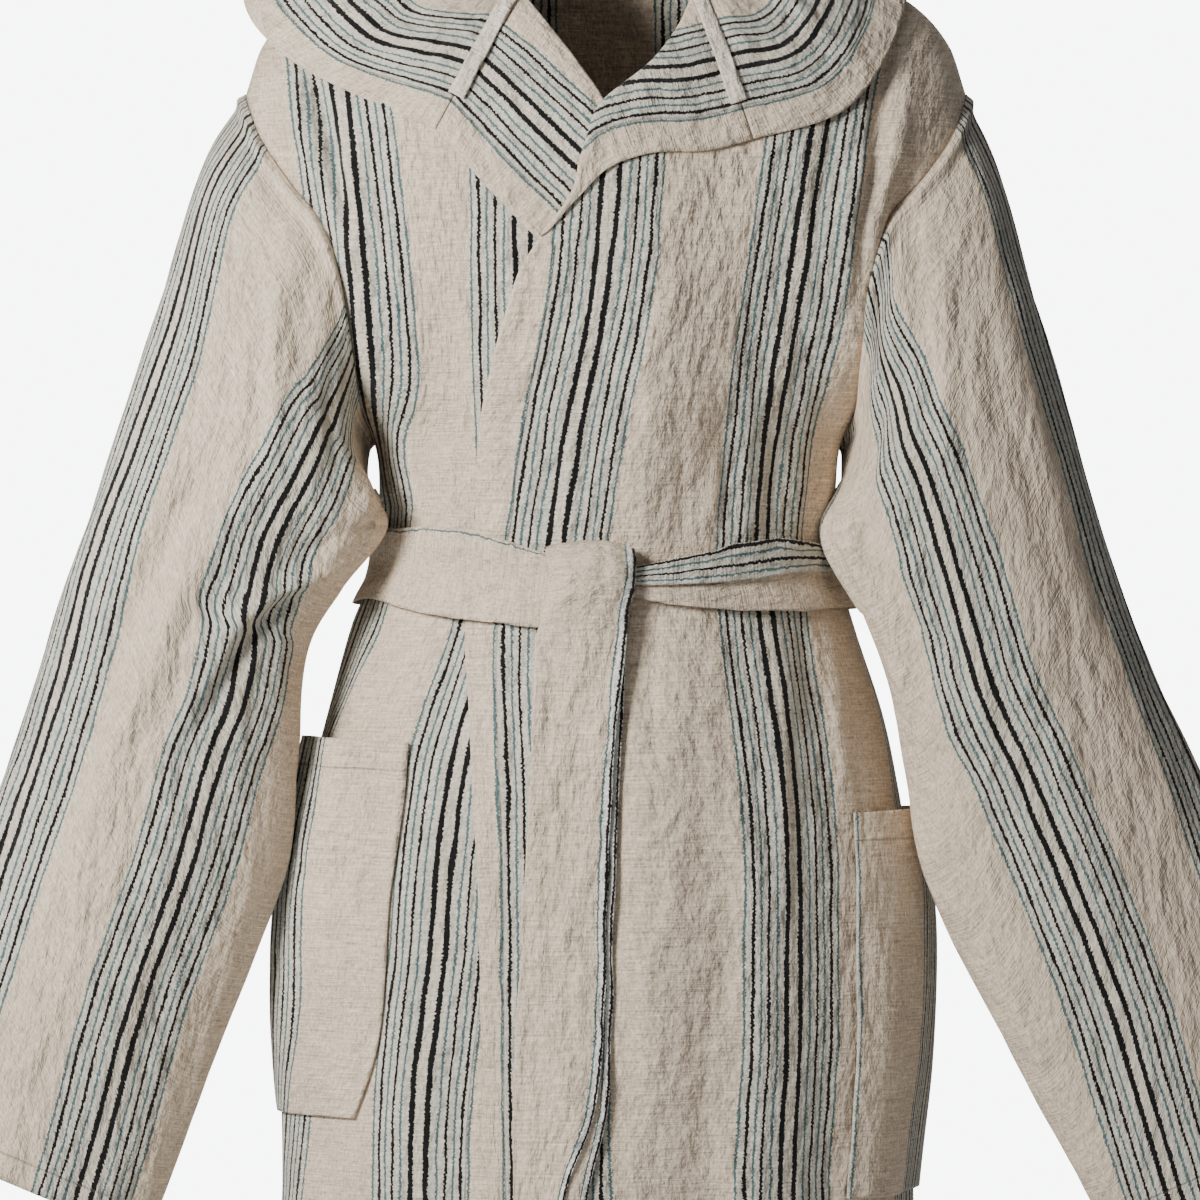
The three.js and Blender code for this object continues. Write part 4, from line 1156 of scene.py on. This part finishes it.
def sleeve(name, side):
    sign = -1 if side == "left" else 1
    around = np.linspace(0, 2 * math.pi, SLEEVE_COLUMNS + 1)[None, :]
    along = np.linspace(0, SLEEVE_STEPS, SLEEVE_ROWS)[:, None]
    share = np.where(around <= math.pi, around, 2 * math.pi - around) / math.pi
    seam_x, seam_z = armhole_place(share, sign)
    front_half = np.sin(around) >= 0
    angle = np.where(front_half, angle_of(seam_x, seam_z), angle_of(seam_x, seam_z, behind=True))
    start = body_point(angle, seam_z)
    shift = start - sleeve_section(side, around, np.zeros_like(around))
    shift = shift * (1 - step(0, SEAM_REACH, along))[..., None]
    grid = sleeve_section(side, around, along) + shift
    middle = grid[:, :-1].mean(axis=1, keepdims=True)
    arc, run = lengths_along(grid, 1), lengths_along(grid, 0)
    normal = unit(grid_normals(grid))
    normal = normal * np.sign(np.sum(normal * (grid - middle), -1, keepdims=True))
    degrees = np.degrees(around) + 0 * along
    by_angle = [
        (a, b * STEP_LENGTH, c, d * STEP_LENGTH, rise, width * SLEEVE_DEGREES_PER_MM)
        for a, b, c, d, rise, width in SLEEVE_CREASES[side]
    ]
    rise = crease_rise(by_angle, degrees, along * STEP_LENGTH + 0 * around)
    ring = CRUMPLE_RADIUS * np.cos(around), CRUMPLE_RADIUS * np.sin(around)
    rough = crumple(ring[0] + 0 * run, run + ring[1], f"{side} sleeve")
    fade = step(0, CREASES_START, along)
    seam_roll = SEAM_ROLL_RISE * np.exp(-(((run - SEAM_ROLL_PLACE) / SEAM_ROLL_WIDTH) ** 2))
    grid = grid + normal * ((rise + rough) * fade + seam_roll)[..., None]
    grid[:, -1] = grid[:, 0]
    total = arc[:, -1:]
    half = SLEEVE_COLUMNS // 2
    table = SLEEVE_STRIPES[side]
    face = grid[:, : half + 1]
    view_z = VIEW_LEVEL + (face[..., 2] - VIEW_LEVEL) * NEARER
    beyond = sign * (face[..., 0] * NEARER - table.at("inner", view_z))
    first = table.at("outer", view_z[:, :1])
    inner = [np.interp(0, b[::-1], a[::-1]) for a, b in zip(arc[:, : half + 1], beyond)]
    second = np.array(inner)[:, None] + np.maximum(beyond[:, -1:], 0)
    hem = np.max(run, axis=0)[None, :] - run
    sheet = Sheet()
    for part in (slice(0, half + 1), slice(half, SLEEVE_COLUMNS + 1)):
        reach = arc[:, part] - (total if part.start else 0)
        place = stripes_between(reach, first, second)
        outward = (grid - middle)[:, part]
        sheet.add(grid[:, part], place, run[:, part], outward, hem[:, part] + CUFF_HEM_SHIFT)
    piece = sheet.build(name, STRIPED)
    declare(piece, name)


sleeve("sleeve_left", "right")
sleeve("sleeve_right", "left")


# The hood
def spline_at(nodes, share):
    """A smooth curve through points; nodes has them along its first axis."""
    place = np.clip(share, 0, 1) * (len(nodes) - 1)
    i = np.minimum(place.astype(int), len(nodes) - 2)
    t = (place - i)[..., None]
    p = [nodes[np.clip(i + k, 0, len(nodes) - 1)] for k in (-1, 0, 1, 2)]
    weights = (
        (-t + 2 * t * t - t**3) / 2,
        (2 - 5 * t * t + 3 * t**3) / 2,
        (t + 4 * t * t - 3 * t**3) / 2,
        (t**3 - t * t) / 2,
    )
    return sum(q * w for q, w in zip(p, weights))


HOOD_ABOVE_NECK = 4 * REST_GAP
SEAM_LINE = {
    # neck's end, corner of the lapel, whether lapped over, side
    "left": (UNDER_ROLL[-1], UNDER_TURNED[-1], False, -1),
    "right": (OVER_ROLL[-1], OVER_TURNED[-1], True, 1),
}


def on_front(x, z, lift, lapped):
    x, z = np.asarray(x, float), np.asarray(z, float)
    lift = np.asarray(lift, float) + (lap_height(x, z) if lapped else 0)
    return lifted(angle_of(x, z), z, lift)


def on_seam_line(side, share, aside, lift):
    neck, corner, lapped, sign = SEAM_LINE[side]
    run_x, run_z = corner[0] - neck[0], corner[1] - neck[1]
    length = math.hypot(run_x, run_z)
    x = lerp(neck[0], corner[0], share) - sign * aside * run_z / length
    z = lerp(neck[1], corner[1], share) + sign * aside * run_x / length
    return on_front(x, z, lift, lapped)


def on_back_neck(x):
    x = np.array(float(x))
    z = back_neck_z(x)
    return lifted(angle_of(x, z, behind=True), z, 0 * z) + (0, 0, HOOD_ABOVE_NECK)


def air(x, y, z):
    return np.array([x, y, z], float)


def under(x, z, lift):
    return on_front(x, z, lift, False)


def over(x, z, lift):
    return on_front(x, z, lift, True)


def seam_section(side):
    rest = [on_seam_line(side, s, SEAM_GAP, turned_lift(s)) for s in (0.25, 0.5, 0.75, 1.0)]
    return (
        on_seam_line(side, 0.01, SEAM_GAP + 0.5, 1.6),
        on_seam_line(side, -0.04, SEAM_GAP + 1, 4.0),
        *rest,
    )


# Sections from the neck seam over the crest down to the opening's edge, round from the view's left.
HOOD_SECTIONS = (
    seam_section("left"),
    (
        under(-60, 1, 1), air(-57, -42, 12), under(-86, -20, 9),
        under(-118, -42, 9), under(-150, -62, 9), under(-182, -73, 7),
    ),
    (
        under(-61.5, 12, 1), air(-61, -23, 27), under(-94, 2, 12),
        under(-134, -12, 15), under(-176, -30, 18), air(-222, -36, -42),
    ),
    (
        air(-62, 0, 23), air(-64, 0, 37), air(-98, 0, 31),
        air(-145, 0, 22), air(-195, 0, 8), air(-234, 0, -16),
    ),
    (
        on_back_neck(-50), air(-56, 34, 28), air(-92, 50, 10),
        air(-128, 64, -12), air(-168, 70, -34), air(-205, 60, -54),
    ),
    (
        on_back_neck(-28), air(-31, 57, 20), air(-60, 93, -26),
        air(-70, 121, -118), air(-96, 138, -110), air(-120, 122, -62),
    ),
    (
        on_back_neck(0), air(0, 63, 17), air(0, 101, -45),
        air(0, 125, -188), air(0, 152, -168), air(0, 142, -74),
    ),
    (
        on_back_neck(28), air(31, 57, 19), air(58, 93, -28),
        air(68, 120, -120), air(92, 136, -112), air(112, 120, -64),
    ),
    (
        on_back_neck(50), air(56, 34, 27), air(88, 50, 6),
        air(118, 62, -20), air(150, 68, -33), air(179, 64, -42),
    ),
    (
        air(62, 0, 23), air(64, 0, 36), air(92, 0, 26),
        air(126, 0, 16), air(163, 2, 8), air(196, 4, -8),
    ),
    (
        over(61.5, 12, 1), air(61, -23, 26), over(86, 2, 8),
        over(116, -14, 8), over(146, -36, 7), over(177, -60, 6),
    ),
    (
        over(60, 1, 1), air(57, -42, 11), over(78, -22, 8),
        over(103, -47, 7), over(126, -73, 6), over(148, -99, 5),
    ),
    seam_section("right"),
)
HOOD_NODES = np.array(HOOD_SECTIONS)
HOOD_ACROSS = 300
HOOD_DOWN = 64
HOOD_CRUMPLE = 1.2
HOOD_END_FADE = 0.04
HOOD_NECK_FADE = 0.2
# Folds of the turned-out hood: around is a share of the way round, down a share to the edge.
HOOD_CREASES = (
    # start around, start down, end around, end down, rise, width
    (0.10, 0.98, 0.13, 0.2, 3.0, 0.012),
    (0.17, 0.98, 0.155, 0.25, -3.0, 0.012),
    (0.23, 0.95, 0.20, 0.2, 3.4, 0.012),
    (0.30, 0.95, 0.33, 0.3, -3.0, 0.014),
    (0.38, 0.9, 0.40, 0.2, 3.0, 0.014),
    (0.47, 0.9, 0.46, 0.2, -3.2, 0.014),
    (0.55, 0.9, 0.54, 0.25, 3.0, 0.014),
    (0.63, 0.9, 0.61, 0.2, -3.0, 0.014),
    (0.71, 0.95, 0.68, 0.2, 3.0, 0.012),
    (0.79, 0.98, 0.80, 0.25, -2.6, 0.012),
    (0.87, 0.98, 0.86, 0.2, 2.8, 0.012),
)


def hood_grid(around, down):
    lines = np.array([spline_at(section, down) for section in HOOD_NODES])
    return np.array([spline_at(lines[:, row], around) for row in range(len(down))])


def hood():
    around = np.linspace(0, 1, HOOD_ACROSS + 1)
    down = np.linspace(0, 1, HOOD_DOWN + 1)
    grid = hood_grid(around, down)
    normal = unit(grid_normals(grid))
    run, along = lengths_along(grid, 0), lengths_along(grid, 1)
    from_edge = run[-1:] - run
    outer_along = np.broadcast_to(along[-1:], along.shape)
    a, d = np.broadcast_arrays(around[None, :], down[:, None])
    rise = crease_rise(HOOD_CREASES, a, d) + HOOD_CRUMPLE * crumple(outer_along, from_edge, "hood")
    ends = step(0, HOOD_END_FADE, a) * step(0, HOOD_END_FADE, 1 - a) * step(0, HOOD_NECK_FADE, d)
    grid = grid + normal * (rise * ends)[..., None]
    sheet = Sheet().add(grid, from_edge, outer_along, normal, from_edge)
    piece = sheet.build("hood", STRIPED)
    declare(piece, "hood")


hood()

# The tape over the neck seam
TAPE_WIDTH = 13.0
TAPE_START, TAPE_END = 0.02, 0.77
TAPE_ROWS, TAPE_COLUMNS = 60, 11
TAPE_LENGTH = 120
TAPE_STAND = 2
TAPE_CROWN = 0.5
TAPE_WALL = 1.0


def neck_tape(name, side):
    share = np.linspace(TAPE_START, TAPE_END, TAPE_ROWS)[:, None]
    aside = np.linspace(-TAPE_WIDTH / 2, TAPE_WIDTH / 2, TAPE_COLUMNS)[None, :]
    share, aside = np.broadcast_arrays(share, aside)
    on_lapel = on_seam_line(side, share, aside, turned_lift(share) + TAPE_STAND)
    start = 0 if side == "left" else 1
    section = (1 if side == "left" else -1) / (len(HOOD_NODES) - 1)
    down = (1 + 4 * share[:, 0]) / 5
    edge = hood_grid(np.array([start, start + section]), down)
    wide = np.linalg.norm(edge[:, 1] - edge[:, 0], axis=-1)
    grid = on_lapel.copy()
    for row in range(len(share)):
        reach = np.clip(start + section * np.maximum(aside[0], 0) / wide[row], 0, 1)
        line = spline_at(np.array([spline_at(s, down[row : row + 1])[0] for s in HOOD_NODES]), reach)
        lift = (on_lapel[row] - line)[TAPE_COLUMNS // 2]
        grid[row] = np.where((aside[0] > 0)[:, None], line + lift, on_lapel[row])
    crown = TAPE_CROWN * (1 - (2 * aside / TAPE_WIDTH) ** 2)
    normal = unit(grid_normals(grid))
    normal = normal * np.sign(-normal[..., 1:2])
    grid = grid + normal * crown[..., None]
    sheet = Sheet().add(grid, aside, TAPE_LENGTH * share, normal)
    piece = sheet.build(name, TAPE, TAPE_WALL)
    declare(piece, name)


neck_tape("neck_tape_left", "right")
neck_tape("neck_tape_right", "left")


# The belt, its knot and tails, and the pockets lie on the body's cloth
def laid(name, place_at, rows, columns, material, flat, held, rests_on, nodes=None, area=None, hem=None):
    """Makes a piece whose place_at gives angle, height, lift and stripes' coordinates."""
    share = np.linspace(0, 1, rows + 1)[:, None]
    share, across = np.broadcast_arrays(share, np.linspace(0, 1, columns + 1)[None, :])
    angle, z, lift, stripe, along = place_at(share, across)
    from_hem = hem(share) if hem else NO_HEM
    piece = Sheet().lay(angle, z, lift, stripe, along, from_hem).build(name, material)
    declare(piece, nodes or name)


BELT_LINE = Table(
    "angle top bottom",
    (98, -378, -424),
    (104, -376, -424),
    (123, -363, -419),
    (134, -360, -416),
    (157, -360, -407),
    (180, -361, -410),
    (270, -360, -414),
    (360, -366, -413),
    (377, -374, -412),
    (411, -373, -414),
    (434, -381, -410),
    (445, -385, -404),
)
BELT_LIFT = 4.4
BELT_STAND = 0.6
BELT_FACE = 52
BELT_MM_PER_DEGREE = 2.6
BELT_NOISE_PER_DEGREE = 2.4
BELT_CURL, BELT_CURL_TURN = 0.4, 9


def panel_lift(x, z):
    return lap_height(x, z) * step(-116, -92, x)


def belt_place(share, across):
    turn = lerp(BELT_LINE["angle"][0], BELT_LINE["angle"][-1], share)
    z = lerp(BELT_LINE.at("top", turn), BELT_LINE.at("bottom", turn), across)
    angle = np.radians(np.where(turn > 270, turn - 360, turn))
    x = body_point(angle, z)[..., 0]
    lap = np.where(np.sin(angle) > 0, panel_lift(x, z), 0)
    slack = ripple("belt", turn * BELT_NOISE_PER_DEGREE, z) * np.sin(math.pi * across)
    slack = slack + BELT_CURL * np.sin(BELT_CURL_TURN * across)
    lift = lap + BELT_LIFT + BELT_STAND + slack
    return angle, z, lift, across * BELT_FACE, turn * BELT_MM_PER_DEGREE


laid("belt_wrap", belt_place, 420, 24, BELTED, (0.052, 0.75), "stretched", ["front_over", "back"])

BELT_FOLD = Table(
    "x top bottom",
    (14, -385, -397),
    (50, -378, -397),
    (94, -368, -393),
    (120, -368, -389),
    (142, -372, -388),
)


FOLD_STAND = 1.2
FOLD_STRIPES_START = FIRST_GROUP - 28.6
FOLD_WIDTH = 21


def belt_fold_place(share, across):
    x = lerp(BELT_FOLD["x"][0], BELT_FOLD["x"][-1], share)
    z = lerp(BELT_FOLD.at("top", x), BELT_FOLD.at("bottom", x), across)
    lift = panel_lift(x, z) + BELT_LIFT + WALL + FOLD_STAND
    return angle_of(x, z), z, lift, FOLD_STRIPES_START + across * FOLD_WIDTH, x


laid("belt_fold", belt_fold_place, 60, 14, STRIPED, (0.025, 0.13), "folded", ["belt_wrap"])

KNOT_ROWS = Table(
    "row z lift left right",
    (0, -372, 2.5, -34, 16),
    (1, -368, 6.5, -35, 17),
    (2, -369, 11, -36, 18),
    (3, -375, 15.5, -36, 18),
    (4, -386, 18.5, -35, 18),
    (5, -400, 19, -36, 17),
    (6, -414, 16.5, -39, 14),
    (7, -428, 12.5, -42, 13),
)
KNOT_END = 7
KNOT_SHARE = 0.3
KNOT_SIDE_LIFT = (8, 13)
KNOT_PLEATS = 4
KNOT_PLEAT_RISE = 1.3
KNOT_CORNER = 5
KNOT_AND_TAIL_LENGTH = 620
TAIL_RIPPLES_START = 60

TAILS = {
    "belt_tail_front": Table(
        "z left right lift",
        (-429, -42, 13, 12.3),
        (-467, -44, 10, 8.8),
        (-528, -47, 4, 6.2),
        (-602, -51, 1, 6.8),
        (-663, -54, -1, 5.6),
        (-724, -55, -8, 6.6),
        (-790, -56, -26, 6.4),
        (-860, -60, -20, 6.2),
        (-930, -66, -12, 6.4),
    ),
    "belt_tail_behind": Table(
        "z left right lift",
        (-424, -34, 12, 7.4),
        (-467, -34, 12, 5),
        (-528, -38, 9, 2.7),
        (-602, -42, 6, 4.4),
        (-663, -44, 4, 2.7),
        (-724, -46, 0, 4.2),
        (-790, -50, -12, 4),
        (-890, -52, -4, 3.8),
    ),
}


def tail_place(table, z, across, top):
    x = lerp(table.at("left", z), table.at("right", z), across)
    rise = ripple("tail", x, z) + ripple("tail threads", x, z)
    return x, z, table.at("lift", z) + rise * step(0, TAIL_RIPPLES_START, top - z)


def knot_place(row, across):
    x = lerp(KNOT_ROWS.at("left", row), KNOT_ROWS.at("right", row), across)
    side = np.abs(2 * across - 1) ** 3
    z = KNOT_ROWS.at("z", row) - KNOT_CORNER * side * (1 - row / KNOT_END)
    lift = KNOT_ROWS.at("lift", row)
    lift = lerp(lift, np.minimum(lift, lerp(*KNOT_SIDE_LIFT, across)), side)
    fade = step(0, 2, row) * (1 - row / KNOT_END) * (1 - side)
    pleat = KNOT_PLEAT_RISE * np.cos(2 * math.pi * KNOT_PLEATS * across) + ripple("knot", x, z)
    return x, z, lift + pleat * fade


def knot_and_tail(share, across):
    """Up behind the belt, over its upper edge and down into the front tail, as one strip."""
    table = TAILS["belt_tail_front"]
    top, foot = table["z"].max(), table["z"].min()
    row = KNOT_END * np.clip(share / KNOT_SHARE, 0, 1)
    z = lerp(top, foot, np.clip((share - KNOT_SHARE) / (1 - KNOT_SHARE), 0, 1))
    turned, hanging = knot_place(row, across), tail_place(table, z, across, top)
    x, z, lift = (np.where(share < KNOT_SHARE, a, b) for a, b in zip(turned, hanging))
    lift = panel_lift(x, z) + lift
    return angle_of(x, z), z, lift, across * BELT_WIDTH, -KNOT_AND_TAIL_LENGTH * share


def tail_behind(share, across):
    table = TAILS["belt_tail_behind"]
    top, foot = table["z"].max(), table["z"].min()
    x, z, lift = tail_place(table, lerp(top, foot, share), across, top)
    return angle_of(x, z), z, lap_height(x, z) + lift, across * BELT_WIDTH, z


laid(
    "belt_knot_and_tail",
    *(knot_and_tail, 220, 44, TAILED, (0.056, 0.58), "hung", ["belt_wrap"]),
    nodes=("belt_knot", "belt_tail_front"),
    area=0.029,
)
laid("belt_tail_behind", tail_behind, 140, 26, TAILED, (0.052, 0.47), "hung", ["belt_wrap"])

POCKETS = {
    "pocket_left": {
        "rests_on": "front_over",
        "outer_angle": -25,
        "rest": 2.2,
        "stripes": (83.2, 1.15),
        "inner": Table("z x", (-541, 154), (-620, 156), (-700, 155), (-784, 150)),
    },
    "pocket_right": {
        "rests_on": "front_under",
        "outer_angle": 195,
        "rest": 1.2,
        "stripes": (92.0, 1.0),
        "inner": Table("z x", (-496, -122), (-528, -124), (-598, -134), (-681, -140), (-733, -157)),
    },
}
POCKET_PUFF = 11
PUFF_SIDES, PUFF_FOOT = 1.3, 0.8  # how fast the puff dies out to the sides and the foot
POCKET_HEM_SHIFT = 4
POCKET_WIDTH = 0.17
HIP_RADIUS = 150


def pocket(name):
    spec = POCKETS[name]
    inner = spec["inner"]
    top, foot = inner["z"].max(), inner["z"].min()
    stripes_start, stripes_scale = spec["stripes"]

    def place(share, across):
        z = lerp(top, foot, share)
        start = angle_of(inner.at("x", z), z)
        end = math.radians(spec["outer_angle"])
        puff = POCKET_PUFF * np.sin(math.pi * across) ** PUFF_SIDES
        puff = puff * np.cos(math.pi * share / 2) ** PUFF_FOOT
        reach = across * np.abs(start - end) * HIP_RADIUS
        lift = WALL + spec["rest"] + puff
        return lerp(start, end, across), z, lift, stripes_start + stripes_scale * reach, z

    def hem(share):
        return share * (top - foot) + POCKET_HEM_SHIFT

    flat = (POCKET_WIDTH, (top - foot) * MM)
    laid(name, place, 120, 60, STRIPED, flat, "draped", [spec["rests_on"]], hem=hem)


for pocket_name in POCKETS:
    pocket(pocket_name)


# Floor, lights and camera
FLOOR_SIZE = 4.8
FLOOR_Z = -1.32
SKY_LIGHT = 0.16  # the world's strength as it lights the cloth
SKY_SEEN = 9.0  # and as the camera sees it
LIGHTS_AIM = (0, 0, -0.5)


def stage():
    bpy.ops.mesh.primitive_plane_add(size=FLOOR_SIZE, location=(0, 0, FLOOR_Z))
    floor = bpy.context.object
    floor.name = "floor"
    shader = Shader("pale_floor")
    shader.put(shader.surface.inputs["Base Color"], linear(228, 229, 231))
    shader.put(shader.surface.inputs["Roughness"], 0.8)
    floor.data.materials.append(shader.material)
    world = bpy.data.worlds.new("studio")
    bpy.context.scene.world = world
    world.use_nodes = True
    tree = world.node_tree
    sky = tree.nodes["Background"]
    sky.inputs["Color"].default_value = linear(236, 238, 242)
    seen = tree.nodes.new("ShaderNodeLightPath").outputs["Is Camera Ray"]
    strength = tree.nodes.new("ShaderNodeMapRange")
    strength.inputs["To Min"].default_value = SKY_LIGHT
    strength.inputs["To Max"].default_value = SKY_SEEN
    tree.links.new(seen, strength.inputs["Value"])
    tree.links.new(strength.outputs[0], sky.inputs["Strength"])
    lights = (
        # name, place, size, watts
        ("window", (-1.15, -1.25, 0.2), 0.5, 50),
        ("fill", (2.6, -2.4, 0.2), 2.4, 1.5),
        ("top", (-0.5, -0.3, 2.0), 1.2, 9),
        ("rear", (0.4, 2.8, 0.8), 2.4, 30),
    )
    for name, place, size, watts in lights:
        data = bpy.data.lights.new(name, "AREA")
        data.size = size
        data.energy = watts
        lamp = bpy.data.objects.new(name, data)
        lamp.location = place
        aim = np.array(LIGHTS_AIM) - np.array(place)
        lamp.rotation_euler = (
            math.acos(-aim[2] / np.linalg.norm(aim)),
            0,
            math.atan2(aim[1], aim[0]) - math.pi / 2,
        )
        bpy.context.scene.collection.objects.link(lamp)


stage()

# The photograph shows 0.768 m of the robe's own plane, seen level from its front.
CAMERA_DISTANCE = 4.0
PLANE_Y = -0.03
FRAME_WIDTH = 0.768
VIEW_MIDDLE = (-0.0038, -0.406)
camera = bpy.data.cameras.new("camera")
camera.lens = camera.sensor_width * CAMERA_DISTANCE / FRAME_WIDTH
viewer = bpy.data.objects.new("camera", camera)
viewer.location = (VIEW_MIDDLE[0], PLANE_Y - CAMERA_DISTANCE, VIEW_MIDDLE[1])
viewer.rotation_euler = (math.pi / 2, 0, 0)
bpy.context.scene.collection.objects.link(viewer)
bpy.context.scene.camera = viewer

bpy.context.view_layer.update()
